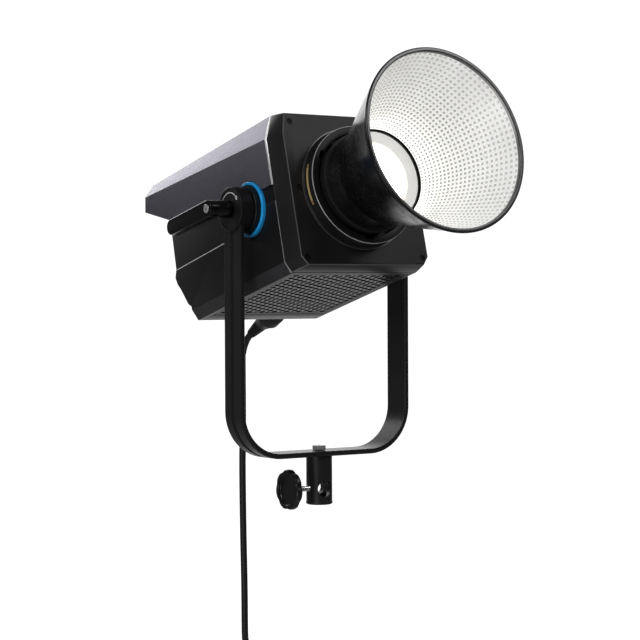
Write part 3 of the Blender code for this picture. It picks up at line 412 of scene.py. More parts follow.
# A pale strip on the hood's front edge: a painted highlight where the edge catches the light.
FRONT_EDGE_HIGHLIGHT = coat("pale_front_edge_highlight", (0.78, 0.78, 0.79), 0.3, 0.4, grain=800, depth=0.08, vary=0.04)
GOLD = coat("gold_mark", (0.68, 0.5, 0.22), 0.4, 0.3, grain=900, depth=0.1, vary=0.05)
MARK = coat("pale_mark", (0.72, 0.72, 0.72), 0.45, grain=900, depth=0.05, vary=0.04)
RUBBER = coat("cord_rubber", (0.009, 0.009, 0.0092), 0.5, grain=700, depth=0.35)
BOARD = coat("board_green", (0.02, 0.15, 0.065), 0.45, grain=500, depth=0.3)
FIBRE = coat("friction_fibre", (0.03, 0.02, 0.014), 0.8, grain=500, depth=0.8, vary=0.35)
PHOSPHOR = coat("phosphor", (0.85, 0.68, 0.16), 0.5, grain=600, depth=0.3)
WINDOW = coat("display_glass", (0.006, 0.007, 0.01), 0.08, grain=40, depth=0.02, vary=0.1)
LENS = glow("lit_diffuser", (1.0, 0.985, 0.95), (5.2, 1.5), (0.033, 0.0375))
# The LED holder ring has a painted glow (lit), standing in for the lamp's light falling on it.
ANNULUS = coat("white_holder", (0.8, 0.8, 0.79), 0.5, grain=900, depth=0.05, vary=0.03, lit=0.28)


# The hanging mains lead

CORD_DIAMETER = 8.0
CORD_SIDES = 16
COIL_CENTRE = (40.0, 211.0, -278.0)
COIL_MEAN_RADIUS = 52.0
COIL_ROWS = (2, 3, 4, 3, 2)  # turns in each layer, from the outermost
TURN_PITCH = 8.15
ROW_PITCH = 7.1  # each layer nests in the one outside it
TURN_STEPS, LAST_TURN_STEPS = 12, 14
LEAVING_RADIUS, LEAVING_Y = 38.2, 184.0
LEAVING_SWEEP = 200  # degrees over which the last turn comes forward
CORD_X = 40.0
CORD_FALL = ((221.2, 75.0), (222.5, 20.0), (221.5, -50.0), (219.5, -120.0))  # (y, z)
FALL_SLANT = math.radians(4.5)
BEND_RADIUS = 37.0  # just below the connector
JOINING_RADIUS = 45.0  # where the hanging lead bends into the coil
JOINING_HEIGHT = 102.0  # above the coil's centre
JOINING_Y, JOINING_STEP = 218.8, 3.7  # where that starts, and how far it comes forward
COIL_START, COIL_END = 62.0, 10.0  # degrees
TIE_ANGLE = 60.0
PLUG_SIDE = 40.0  # from the coil's centre
BUNDLE_HALF = 18.8  # half the coil's depth, with some air
CONNECTOR_DEPTHS = (60.0, 88.3)  # inside the connector, and at its tail's end


def catmull(knots, spacing):
    """Points of a smooth curve through the knots, about evenly spaced."""
    knots = [Vector(knot) for knot in knots]
    ends = [knots[0] * 2 - knots[1], *knots, knots[-1] * 2 - knots[-2]]
    fine = []
    for before, start, end, after in zip(ends, ends[1:], ends[2:], ends[3:]):
        for step in range(40):
            t = step / 40
            linear = 2 * start + (end - before) * t
            square = (2 * before - 5 * start + 4 * end - after) * t**2
            fine.append((linear + square + (3 * start - before - 3 * end + after) * t**3) * 0.5)
    fine.append(knots[-1])
    path, walked = [fine[0]], 0.0
    for start, end in zip(fine, fine[1:]):
        walked += (end - start).length
        if walked >= spacing:
            path.append(end)
            walked = 0.0
    path[-1] = fine[-1]
    return path


def coil_places():
    """Each turn's (radius, Y offset) in the bundle, winding to and fro from the outermost layer inward."""
    places = []
    for row, count in enumerate(COIL_ROWS):
        radius = COIL_MEAN_RADIUS + ((len(COIL_ROWS) - 1) / 2 - row) * ROW_PITCH
        offsets = [((count - 1) / 2 - turn) * TURN_PITCH for turn in range(count)]
        places += [(radius, offset) for offset in (offsets if row % 2 == 0 else offsets[::-1])]
    return places


def eased(value):
    value = min(1.0, max(0.0, value))
    return value * value * (3 - 2 * value)


def coil_points(start_angle, end_angle):
    """The turns, clockwise seen from the front. Each one shifts to the next place low on the coil.

    The last turn comes forward out of the coil on its way to the plug."""
    x, y, z = COIL_CENTRE
    places = coil_places()
    points = []
    for turn, (radius, offset) in enumerate(places):
        last = turn == len(places) - 1
        next_radius, next_offset = places[turn if last else turn + 1]
        swept = 360 + start_angle - end_angle if last else 360
        steps = LAST_TURN_STEPS if last else TURN_STEPS
        for step in range(steps + 1 if last else steps):
            angle = start_angle - swept * step / steps
            blend = eased((step / TURN_STEPS - 0.25) / 0.5)
            r = radius + (next_radius - radius) * blend
            place_y = y + offset + (next_offset - offset) * blend
            if last:
                out = eased((end_angle - 360 + LEAVING_SWEEP - angle) / LEAVING_SWEEP)
                r += (LEAVING_RADIUS - r) * min(1.0, out * 3)
                place_y += (LEAVING_Y - place_y) * out
            angle = math.radians(angle)
            points.append((x + r * math.cos(angle), place_y, z + r * math.sin(angle)))
    return points


def sweep(name, path, diameter):
    """A round tube along a path, with a ring of vertices at each of its points."""
    path = [Vector(point) for point in path]
    rings = []
    up = Vector((1, 0, 0))
    for number, point in enumerate(path):
        ahead = (path[min(number + 1, len(path) - 1)] - path[max(number - 1, 0)]).normalized()
        up = (up - ahead * up.dot(ahead)).normalized()
        side = ahead.cross(up)
        ring = []
        for step in range(CORD_SIDES):
            angle = 2 * math.pi * step / CORD_SIDES
            ring.append(tuple(point + (up * math.cos(angle) + side * math.sin(angle)) * diameter / 2))
        rings.append(ring)
    return loft(name, rings)


def make_cord():
    x, _, z = COIL_CENTRE
    tail, start = connector_axis()
    hanging = [start]
    slant = math.atan2(start.y - tail.y, tail.z - start.z)
    for step in range(1, 8):
        turn = slant - (slant - FALL_SLANT) * step / 7
        place_y = start.y + BEND_RADIUS * (math.cos(turn) - math.cos(slant))
        hanging.append((CORD_X, place_y, start.z - BEND_RADIUS * (math.sin(slant) - math.sin(turn))))
    hanging += [(CORD_X, place_y, place_z) for place_y, place_z in CORD_FALL]
    for angle in (0, 15, 30, 45, 60):
        turn = math.radians(angle)
        place_x = CORD_X + JOINING_RADIUS * (1 - math.cos(turn))
        place_y = JOINING_Y - JOINING_STEP * eased(angle / 60)
        hanging.append((place_x, place_y, z + JOINING_HEIGHT - JOINING_RADIUS * math.sin(turn)))
    into_plug = [(x + PLUG_SIDE - 0.6, LEAVING_Y, z - 4.0), (x + PLUG_SIDE, LEAVING_Y, z - 10.5)]
    path = catmull([*hanging, *coil_points(COIL_START, COIL_END), *into_plug], 5.0)
    tube = sweep("mains_lead", path, CORD_DIAMETER)
    tube.data.materials.append(RUBBER)
    tube.data.shade_smooth()
    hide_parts("cord_tube", "cord_coil")
    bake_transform(tube)


def connector_axis():
    """A point inside the connector and its tail's end, in the world frame in millimetres."""
    slope = (SLOPE_LOW - SLOPE_TOP).normalized()
    normal = Vector((-slope.y, slope.x))
    ends = []
    for depth in CONNECTOR_DEPTHS:
        place = SLOPE_TOP + slope * SLOPE_MIDDLE + normal * depth
        ends.append(HEAD @ Vector((CORD_X * MM, place.x * MM, place.y * MM)) / MM)
    return ends


# The reflector

THROAT_RADIUS, THROAT_FRONT = 49.4, 121.0
MOUTH_RADIUS, MOUTH_FRONT = 92.8, 233.0
BOWL_BULGE, BOWL_WALL = 1.2, 1.5
FACET_SECTORS, FACET_ROWS, FACET_STEPS = 92, 23, 4
FACET_DEPTH = 0.34
FACET_END = 0.972  # the faceted part of the meridian
LINING_BACK = (FACET_END, 0.65, 0.3, 0.0)
NOTCH_ANGLES = (27.0, 147.0, 267.0)
DOME_RADIUS = 42.0
OPTICS = LIGHT @ FORWARD_TURN


def bowl_point(t, offset=0.0):
    """A point (radius, forward) of the bowl's meridian, from throat to mouth, moved outward by an offset."""
    radius = THROAT_RADIUS + (MOUTH_RADIUS - THROAT_RADIUS) * t + BOWL_BULGE * math.sin(math.pi * t)
    return radius + offset, THROAT_FRONT + (MOUTH_FRONT - THROAT_FRONT) * t


def make_facets():
    """The bowl's lining: rows of small hollow facets between crisp ridges. Each facet's middle is painted a
    darker grey than the ridges, a painted reflection, and the grey darkens row by row towards the throat,
    painted shade against the light that is strongest there.
    """
    count, lines = FACET_SECTORS * FACET_STEPS, FACET_ROWS * FACET_STEPS
    dents = [math.sin(math.pi * step / FACET_STEPS) for step in range(FACET_STEPS)]

    def ring(t, offset, depth):
        radii = [bowl_point(t, offset + depth * dents[step % FACET_STEPS])[0] for step in range(count)]
        return polar_ring(radii, bowl_point(t)[1])

    rings = []
    for line in range(lines + 1):
        part = line / lines
        depth = FACET_DEPTH * dents[line % FACET_STEPS]
        rings.append(ring(FACET_END * part * (0.8 + 0.2 * part), 0, depth))
    rings += [ring(t, 0.7, 0) for t in LINING_BACK]
    facets = loft("bowl_facets", rings, OPTICS, closed=True)
    for paint in (RIDGE, *SHADED_FACETS):
        facets.data.materials.append(paint)
    # the middle faces of each facet take the darker greys: painted reflection and painted shade
    inner = FACET_STEPS / 2 - 1, FACET_STEPS / 2
    for face in facets.data.polygons:
        line, step = divmod(face.index, count)
        if line < lines and line % FACET_STEPS in inner and step % FACET_STEPS in inner:
            face.material_index = 1 + line * len(SHADED_FACETS) // lines
    piece(facets, "reflector", "bowl_silver", None, "reflector_bowl", sharp=13)


def make_reflector():
    make_facets()
    outside = [bowl_point(step / 30, BOWL_WALL) for step in range(30)]
    lip = arc((MOUTH_RADIUS + 0.8, MOUTH_FRONT + 0.1), 1.5, -50, 80, 9)
    bead = arc((MOUTH_RADIUS - 1.4, MOUTH_FRONT + 0.5), 1.0, 110, 190, 5)
    bead.insert(0, (MOUTH_RADIUS - 1.2, MOUTH_FRONT + 1.5))
    neck = THROAT_RADIUS + BOWL_WALL
    profile = [(neck, 97.6), (neck, 118.6), *outside, *lip, *bead]
    profile += [(MOUTH_RADIUS - 2.2, MOUTH_FRONT - 2.9), *[bowl_point(t, 0.8) for t in LINING_BACK]]
    profile += [(THROAT_RADIUS + 0.8, 97.3), (neck - 0.3, 97.3)]
    shell = turned("bowl_shell", profile, OPTICS, 144, ring=True)
    shell.data.materials.append(BOWL_OUTSIDE)
    shell.data.materials.append(BEAD_REFLECTION_GREY)
    # the bead's faces take the grey of the painted reflection
    first = len(outside) + len(lip) + 1
    for face in shell.data.polygons:
        if first <= face.index // 144 <= first + len(bead):
            face.material_index = 1
    piece(shell, "reflector", "gloss_black", None, sharp=40)
    base = [
        (DOME_RADIUS + 0.8, 76.0), (52.0, 76.0), (52.4, 76.4), (52.4, 94.0), (53.6, 96.4), (53.4, 97.0),
        (THROAT_RADIUS - GAP, 97.0), (THROAT_RADIUS - GAP, 118.7), (THROAT_RADIUS - 0.7, 119.0),
        (THROAT_RADIUS - 1.7, 118.6), (THROAT_RADIUS - 1.7, 116.6), (DOME_RADIUS + 0.8, 112.4),
    ]
    collar = turned("reflector_collar", base, OPTICS, ring=True)
    lugs = []
    for angle in NOTCH_ANGLES:
        turn = Matrix.Rotation(math.radians(30.0 - angle), 4, "Y")
        lugs.append(block("lug", (50.0, -80.2, -4.2), (58.0, -77.2, 4.2), LIGHT @ turn))
    join(collar, *lugs)
    piece(soften(collar, 0.3), "reflector", "black_plastic", MOULDED, "reflector_base")
    rim = [(47.6, 117.7), (37.4, 113.5), (37.4, 113.0), (47.6, 116.6)]
    # the holder ring glows with painted light
    piece(turned("throat_annulus", rim, OPTICS, ring=True), "reflector", "black_plastic", ANNULUS)


def make_optics():
    """The glowing front glass with its clamp ring, and the accessory ring round them."""
    edge = arc((DOME_RADIUS - 4, 108.2), 4, 0, 78, 8)
    dome = [(0, 111.4), (37.0, 109.8), (40.0, 107.6), (40.0, 66.0), (46.0, 66.0), (46.0, 68.0)]
    dome += [(DOME_RADIUS, 68.0), *edge, (34, 112.5), (20, 113.0), (0, 113.4)]
    glass = turned("front_glass", dome, OPTICS)
    piece(glass, "head", "frosted_glass", LENS, "lens_dome", sharp=50)
    profile = [
        (55.0, 73.6), (64.5, 73.6), (63.5, 74.6), (63.5, 88.9), (63.1, 89.3), (55.4, 89.3), (55.0, 88.9),
        (55.0, 81.0), (59.2, 81.0), (59.2, 75.6), (55.0, 75.6),
    ]
    ring = turned("accessory_ring", profile, OPTICS, 120, ring=True)
    notches = []
    for angle in NOTCH_ANGLES:
        turn = Matrix.Rotation(-math.radians(angle), 4, "Y")
        notches.append(block("notch", (50.0, -95.0, -5.0), (58.8, -80.0, 5.0), LIGHT @ turn))
    turn = Matrix.Rotation(math.radians(90 - 87), 4, "Y")
    notches.append(rod("detent_bore", 2.4, 50, 62.7, LIGHT @ at(0, -85.2, 0) @ turn))
    cut(ring, *notches)
    piece(soften(ring, 0.3, 1), "head", "black_metal", SATIN_BLACK, "mount_ring", sharp=30)
    marks = []
    for start, end in ((162.6, 194.8), (160.9, 161.8), (159.2, 160.1), (195.6, 196.5), (197.3, 198.2)):
        outline = arc((0, 0), 63.75, start, end, 12) + arc((0, 0), 63.4, end, start, 12)
        marks.append(prism("mark", outline, "z", 78.6, 81.6, OPTICS))
    piece(merge("lock_mark", marks), "head", "brass", GOLD)
    # Thin pale rings: one on the plate's real raised step round the ring, one on the ring's front outer edge,
    # both painted highlights.
    step_highlight = [(64.6, 73.2), (65.5, 73.2), (65.5, 73.55), (64.6, 73.55)]
    piece(turned("plate_step_highlight", step_highlight, OPTICS, 120, ring=True), "head", "plate_grey", EDGE_HIGHLIGHT)
    edge = [(62.9, 89.33), (63.35, 89.2), (63.6, 88.8), (63.2, 88.8)]
    piece(turned("ring_edge_highlight", edge, OPTICS, 120, ring=True), "head", "black_metal", PALE_EDGE_HIGHLIGHT)


# The head's housing

PLATE_FRONT, BEZEL_BACK, COVER_BACK = -73.3, -50.0, 218.0
SIDE, COVER_SIDE, TOP_SIDE = 84.0, 85.8, 75.0
BOTTOM, SHELL_TOP, REAR_PANEL = -81.9, 36.0, 166.0
SHELL_WALL, COVER_WALL = 2.5, 1.5
GRILLE_FRONT, GRILLE_BACK, GRILLE_SIDE = -44.0, 121.0, 73.0
HEM = 12.5
SHELL_BACK_LINE = (
    (147.0, BOTTOM), (148.0, -66.1), (154.0, -61.5), (165.4, -42.0), (171.2, -34.4), (174.0, -26.3),
    (169.6, -17.3), (168.0, SHELL_TOP),
)
PLATE_SCREWS = ((-70, 72.6), (70, 72.6), (-70, 1.8), (70, 1.8), (-72, -71.9), (72, -71.9))


def front_place(x, z):
    """The frame of a piece on the head's front, its own Z forward."""
    return HEAD @ at(x, 0, z) @ FORWARD_TURN


def rear_place(x, z):
    return HEAD @ at(x, 0, z) @ BACKWARD_TURN


def both_sides(right):
    return right + [(-x, z) for x, z in reversed(right)]


def section(half_top, top, edge, half_side, corner, half_bottom, bottom, y):
    outline = both_sides([(half_bottom, bottom), (half_side, corner), (half_side, edge), (half_top, top)])
    return [(x, y, z) for x, z in outline]


def make_bezel():
    front = section(75.4, 81.7, 60.5, 79.7, -70.8, 72.6, -80.1, PLATE_FRONT)
    back = section(TOP_SIDE, 87.2, 61.2, COVER_SIDE, -70.8, 78.9, BOTTOM, BEZEL_BACK)
    bezel = loft("front_plate", [front, back], HEAD)
    shrink = 1 - 5.0 / COVER_SIDE
    hollow = [[(x * shrink, y + 3, z * shrink) for x, y, z in ring] for ring in (front, back)]
    cut(bezel, loft("hollow", hollow, HEAD), rod("opening", 50.0, -100, 100, OPTICS, ROUND))
    # the bezel's rounded edges are painted a lighter grey: painted highlights
    soften(bezel, 0.8, 2, 35, PLATE_GREY, EDGE_HIGHLIGHT)
    cut(bezel, *[rod("recess", 3.4, 71.2, 90, front_place(x, z), 24) for x, z in PLATE_SCREWS])
    piece(bezel, "head", "plate_grey", None, "front_bezel", sharp=20)
    head = [(0, 71.3), (2.7, 71.3), (2.9, 71.6), (2.9, 72.1), (2.6, 72.4), (1.4, 72.4)]
    head += [(1.4, 71.5), (0, 71.5)]
    screws = [turned("screw", head, front_place(x, z), 24) for x, z in PLATE_SCREWS]
    piece(merge("plate_screws", screws), "head", "black_metal", SHELL_BLACK)


def shell_section(inset, top):
    edge, corner = 78.2 - inset * 0.8, -70.0 + inset * 0.2
    return both_sides([(edge, BOTTOM + inset), (SIDE - inset, corner), (SIDE - inset, top)])


def paint_underside(obj):
    """Paints the faces that look down, the bottom and its sloping edges, a lighter grey: partly the bottom
    pan's own grey, partly painted light bounced up from the floor.
    """
    obj.data.materials.append(PAN_AND_BOUNCE_GREY)
    down = HEAD.to_3x3() @ Vector((0, 0, -1))
    for face in obj.data.polygons:
        if face.material_index == 0 and face.normal.dot(down) > 0.15:
            face.material_index = 2


def make_lower_shell():
    profile = [(BEZEL_BACK + GAP, SHELL_TOP), (BEZEL_BACK + GAP, BOTTOM), *SHELL_BACK_LINE]
    shell = prism("lower_housing", profile, "x", -SIDE, SIDE, HEAD)
    combine(shell, "INTERSECT", [prism("section", shell_section(0, 60), "y", -60, 190, HEAD)])
    cutters = [prism("hollow", shell_section(SHELL_WALL, 70), "y", -65, 195, HEAD)]
    low, high = (-GRILLE_SIDE, GRILLE_FRONT, BOTTOM - 5), (GRILLE_SIDE, GRILLE_BACK, BOTTOM + 10)
    cutters.append(block("window", low, high, HEAD))
    for side, turn in ((-1, LEFT_TURN), (1, RIGHT_TURN)):
        cutters.append(rod("bore", 9.4, 70, 100, HEAD @ turn, 48))
        seam = (side * (SIDE + 1), -60.0, -4.6), (side * (SIDE - 0.5), -30.5, -4.0)
        cutters.append(block("seam", *[tuple(f(a, b) for a, b in zip(*seam)) for f in (min, max)], HEAD))
    cut(shell, *cutters)
    # the shell's rounded edges get a lighter black: painted highlights
    shell = soften(shell, 0.7, 2, 20, SHELL_BLACK, SHELL_EDGE_HIGHLIGHT)
    paint_underside(shell)
    piece(shell, "head", "black_metal", None, "lower_shell", sharp=24)
    front = BEZEL_BACK + GAP
    lines, edge_highlight_strips = [], []
    for side in (-1, 1):
        out, inner = side * (SIDE + 0.25), side * (SIDE - 0.4)
        low, high = sorted((out, inner))
        outline = [(170.0, -19.1), (169.8, -18.2), (30.0, -18.2), (29.5, -19.1)]
        lines.append(prism("line", outline, "x", low, high, HEAD))
        # a pale strip along the shell's front edge: a painted highlight
        path = [(SIDE, -4.8), (SIDE, -70.1), (78.3, BOTTOM + 0.15)]
        rings = []
        for y in (front + 0.05, front + 2.3):
            face = [(side * (x + 0.2), y, z) for x, z in path]
            back = [(side * (x - 0.9), y, z + 0.4) for x, z in path]
            rings.append(face + back[::-1])
        edge_highlight_strips.append(loft("trim", rings, HEAD))
    piece(merge("side_lines", lines), "head", "black_metal", MARK)
    piece(merge("shell_front_edge_highlights", edge_highlight_strips), "head", "black_metal", PALE_EDGE_HIGHLIGHT)


def make_grille():
    """The intake panel: a thin sheet with staggered holes, set in a plain frame."""
    pitch, hole = 9.3, 3.7
    columns, rows = 17, 17
    builder = bmesh.new()
    low, high = BOTTOM + 0.3, BOTTOM + 0.6
    middle = (GRILLE_FRONT + GRILLE_BACK) / 2
    cell = arc((0, 0), pitch / math.sqrt(3), 0, 300, 5)
    outer = []
    for start, end in zip(cell, cell[1:] + cell[:1]):
        for part in (0, 1 / 3, 2 / 3):
            outer.append(tuple(a + (b - a) * part for a, b in zip(start, end)))
    inner = [(x / math.hypot(x, y) * hole, y / math.hypot(x, y) * hole) for x, y in outer]
    for column in range(columns):
        for row in range(rows + column % 2):
            x0 = (column - (columns - 1) / 2) * pitch * math.sqrt(3) / 2
            y0 = middle + (row - (rows + column % 2 - 1) / 2) * pitch
            loops = []
            for outline, z in ((outer, low), (inner, low), (inner, high), (outer, high)):
                loops.append([builder.verts.new(((x0 + x) * MM, (y0 + y) * MM, z * MM)) for x, y in outline])
            for loop, following in zip(loops, loops[1:]):
                for step in range(len(outer)):
                    after = (step + 1) % len(outer)
                    builder.faces.new([loop[step], loop[after], following[after], following[step]])
    bmesh.ops.remove_doubles(builder, verts=builder.verts, dist=0.00002)
    bmesh.ops.recalc_face_normals(builder, faces=builder.faces)
    sheet = object_of(builder, "perforated_sheet")
    sheet.data.transform(HEAD)
    piece(sheet, "head", "black_metal", GRILLE_BLACK, "bottom_grille", sharp=25)
    rim_x, rim_low, rim_high = GRILLE_SIDE - GAP, GRILLE_FRONT + GAP, GRILLE_BACK - GAP
    rim = block("grille_frame", (-rim_x, rim_low, BOTTOM), (rim_x, rim_high, BOTTOM + 1.8), HEAD)
    window = (-rim_x + 4, rim_low + 4.5, BOTTOM - 1), (rim_x - 4, rim_high - 4.5, BOTTOM + 3)
    cut(rim, block("window", *window, HEAD))
    # the frame takes the same lighter grey: partly its own, partly painted bounce light
    piece(soften(rim, 0.3), "head", "black_metal", PAN_AND_BOUNCE_GREY, sharp=20)


def cover_ring(y, inset=0.0):
    along = (y - BEZEL_BACK) / (COVER_BACK - BEZEL_BACK)
    edge = 61.2 + 19.1 * along - inset * 0.3
    top = 87.2 + 6.8 * along - inset
    right = [(COVER_SIDE - inset, -10 - inset * 5), (COVER_SIDE - inset, edge), (TOP_SIDE - inset * 0.7, top)]
    return [(x, y, z) for x, z in both_sides(right)]


def make_cover():
    front = BEZEL_BACK + GAP

    def rings(low, high, inset):
        return [cover_ring(low + (high - low) * bay / 5, inset) for bay in range(6)]

    cover = loft("hood", rings(front + 3.1, COVER_BACK, 0), HEAD)
    profile = [
        (front - 5, HEM), (122.0, HEM + 5), (COVER_BACK, 63.4), (COVER_BACK - 4.6, 80.3),
        (COVER_BACK - 9.0, 110.0), (front - 5, 110.0),
    ]
    combine(cover, "INTERSECT", [prism("profile", profile, "x", -100, 100, HEAD)])
    cutters = [loft("hollow", rings(front - 5, COVER_BACK - 11, COVER_WALL), HEAD)]
    cutters += [rod("notch", 29.6, 70, 100, HEAD @ turn, ROUND) for turn in (LEFT_TURN, RIGHT_TURN)]
    cut(cover, *cutters)
    # the hood's rounded edges get a lighter flake paint: painted highlights
    piece(soften(cover, 0.55, 2, 12, HOOD, HOOD_EDGE_HIGHLIGHT), "head", "hood_grey", None, "top_cover", sharp=12)
    # the pale strip along the hood's front edge is a painted highlight
    trim = loft("hood_front_edge_highlight", [cover_ring(front, 0.7), cover_ring(front + 0.7), cover_ring(front + 3.0)], HEAD)
    hollow = loft("hollow", [cover_ring(front - 1, 2.0), cover_ring(front + 4, 2.0)], HEAD)
    cut(trim, hollow, block("below", (-100, -60, -40), (100, -40, HEM), HEAD))
    piece(soften(trim, 0.25), "head", "hood_grey", FRONT_EDGE_HIGHLIGHT)


# Tilt hubs and lock lever

HOUSING_RADIUS, HOUSING_INNER, HOUSING_OUTER = 23.4, 95.6, 110.3
TILT_AXIS = at(0, 0, TILT_HEIGHT)
LEVER = TILT_AXIS @ Matrix.Rotation(math.radians(-12.5), 4, "X")
YOKE_INSIDE, YOKE_THICKNESS, YOKE_DEPTH = 102.5, 5.5, 33.0
YOKE_BASE, YOKE_CORNER = 52.0, 50.5
STUD_RADIUS = 5.0


def make_hub(side, name):
    turn = RIGHT_TURN if side > 0 else LEFT_TURN
    head_turn, place = HEAD @ turn, TILT_AXIS @ turn
    profile = [
        (HOUSING_RADIUS - 0.5, HOUSING_INNER), (HOUSING_RADIUS, HOUSING_INNER + 0.5),
        (HOUSING_RADIUS, HOUSING_OUTER - 1.0),
        *arc((HOUSING_RADIUS - 0.9, HOUSING_OUTER - 1.0), 0.9, 15, 75, 3),
        (HOUSING_RADIUS - 1.2, HOUSING_OUTER - 0.02), (HOUSING_RADIUS - 2.4, HOUSING_OUTER - 0.02),
        (HOUSING_RADIUS - 2.7, HOUSING_OUTER - 0.4),
    ]
    housing = turned(f"{name}_hub_cap", profile, place)
    low, high = sorted((side * (YOKE_INSIDE - GAP), side * (YOKE_INSIDE + YOKE_THICKNESS + GAP)))
    half = YOKE_DEPTH / 2 + GAP
    slot = arc((0, 0), half, 0, 180, 24) + [(-half, -40), (half, -40)]
    slot = prism("slot", slot, "x", low, high, TILT_AXIS)
    near, far = sorted((side * (HOUSING_INNER - 1), side * (HOUSING_INNER + 2.4)))
    pocket = block("pocket", (near, -2.4, 21.2), (far, 2.4, 26), TILT_AXIS)
    cut(housing, slot, pocket, rod("bore", STUD_RADIUS + GAP, 80, 140, place))
    piece(housing, "yoke", "black_metal", SATIN_BLACK, f"{name}_hub_housing", sharp=30)
    boss = [
        (STUD_RADIUS + GAP, 76.0), (9.0, 76.0), (9.0, 84.3), (25.0, 84.3), (25.0, 92.9), (24.5, 93.4),
        (STUD_RADIUS + GAP, 93.4),
    ]
    boss = turned(f"{name}_boss", boss, head_turn, ring=True)
    piece(boss, "head", "black_metal", SATIN_BLACK, f"{name}_tilt_boss")
    trim = [(25.6, 84.3), (29.0, 84.3), *arc((27.9, 87.1), 1.2, 0, 90, 5), (26.2, 88.3), (25.6, 87.8)]
    trim = turned(f"{name}_trim", trim, head_turn, ring=True)
    piece(trim, "head", "blue", BLUE, f"{name}_blue_ring", sharp=50)


def make_turn_mark():
    """A plain arc with an arrowhead on the left hub, over the lever."""
    low, high = HOUSING_OUTER - 0.45, HOUSING_OUTER - 0.05
    place = TILT_AXIS @ LEFT_TURN
    outline = arc((0, 0), 17.7, -46, 62, 24) + arc((0, 0), 16.7, 62, -46, 24)
    corners = (19.6, -45), (14.8, -45), (17.2, -58)
    tip = [arc((0, 0), radius, angle, angle, 1)[0] for radius, angle in corners]
    marks = [prism("mark", shape, "z", low, high, place) for shape in (outline, tip)]
    piece(merge("turn_mark", marks), "yoke", "black_metal", MARK)


def make_lever():
    bar_inner, bar_outer, length, radius = 127.5, 138.5, 77.0, 8.4
    turn = LEVER @ LEFT_TURN
    barrel = [(8.8, HOUSING_OUTER + GAP), (9.4, HOUSING_OUTER + 0.9)]
    barrel += [(9.4, 126.4), (9.0, 127.2), (9.0, bar_inner + 2)]
    handle = turned("lock_lever", barrel, turn, 72)
    outline = arc((0, 0), 9.0, 270, 90, 24) + arc((length, 0), radius, 90, -90, 24)
    bar = soften(prism("bar", outline, "x", -bar_outer, -bar_inner, LEVER), 1.1, 3)
    join(handle, bar)
    cutters = [rod("core", 7.4, 100, 121.5, turn), rod("passage", 3.0, 100, 150, turn)]
    cut(handle, *cutters, rod("pocket", 5.0, 129.8, 150, turn))
    piece(soften(handle, 0.2, 1, 50), "lever", "gloss_black", GLOSS, "lever_handle", sharp=40)
    screw = [
        (0, 121.2), (2.5, 121.2), (2.5, 135.0), (4.6, 135.0), (4.6, 138.5),
        *arc((3.8, 138.5), 0.8, 20, 90, 4), (2.3, 139.3), (2.3, 136.4), (0, 136.0),
    ]
    screw = turned("lever_bolt", screw, turn, 6 * 8)
    piece(screw, "lever", "steel", PLATED, "lever_screw", sharp=30)


# Yoke, receiver and clamp


def make_yoke():
    """The strap: one cross-section with a shallow groove along its outer face, carried round the bends."""
    half = YOKE_DEPTH / 2
    shape = [
        (-half, 1.5), (-half + 0.5, 0.5), (-half + 1.5, 0), (-3.4, 0), (-2.6, 1.6), (2.6, 1.6), (3.4, 0),
        (half - 1.5, 0), (half - 0.5, 0.5), (half, 1.5), (half, YOKE_THICKNESS - 0.5),
        (half - 0.5, YOKE_THICKNESS), (-half + 0.5, YOKE_THICKNESS), (-half, YOKE_THICKNESS - 0.5),
    ]
    side, steps = YOKE_INSIDE + YOKE_THICKNESS, 28
    stations = [((-side, TILT_HEIGHT), 180.0)]
    for centre, start in ((-side + YOKE_CORNER, 180.0), (side - YOKE_CORNER, 270.0)):
        middle = (centre, YOKE_BASE + YOKE_CORNER)
        for step in range(steps + 1):
            angle = start + 90.0 * step / steps
            stations.append((arc(middle, YOKE_CORNER, angle, angle, 1)[0], angle))
    stations.append(((side, TILT_HEIGHT), 360.0))
    rings = []
    for (x, z), angle in stations:
        out_x, out_z = math.cos(math.radians(angle)), math.sin(math.radians(angle))
        rings.append([(x - out_x * inset, y, z - out_z * inset) for y, inset in shape])
    strap = loft("yoke_bar", rings)
    ends = []
    for low in (-side + 1.2, YOKE_INSIDE):
        ends.append(rod("arm_end", half, low, low + YOKE_THICKNESS - 1.2, TILT_AXIS @ RIGHT_TURN, 64))
    join(strap, *ends)
    cut(strap, rod("tilt_bore", 5.3, -140, 140, TILT_AXIS @ RIGHT_TURN), rod("bolt_hole", 4.3, 40, 70))
    piece(strap, "yoke", "black_metal", YOKE_BLACK, "yoke_strap", sharp=24)


def make_receiver():
    profile = [
        (8.9, 0), (12.8, 0), (14.1, 0.9), (14.4, 1.5), (14.4, 2.4), (14.0, 3.1), (14.0, 51.2), (13.5, 51.7),
        (4.3, 51.7), (4.3, 42.0), (8.2, 42.0), (8.2, 0.7),
    ]
    tube = turned("receiver", profile, ring=True)
    cross = rod("cross", 8.9, -30, 30, at(0, 0, 17.1) @ FORWARD_TURN, 72)
    cut(tube, cross, rod("clamp_hole", 3.4, 0, 30, at(0, 0, 17.4) @ LEFT_TURN))
    # the receiver's rounded edges are painted grey: painted highlights
    soften(tube, 0.45, 3, 30, YOKE_BLACK, EDGE_HIGHLIGHT)
    piece(tube, "yoke", "black_metal", None, "stand_receiver", sharp=30)
    head = soften(block("bolt", (-5.3, -5.3, 57.8), (5.3, 5.3, 63.0)), 0.6, 3)
    join(head, rod("shank", 4.0, 42.5, 58.5))
    cut(head, rod("dimple", 2.2, 62.3, 70))
    piece(head, "yoke", "steel", PLATED, "receiver_bolt", sharp=30)


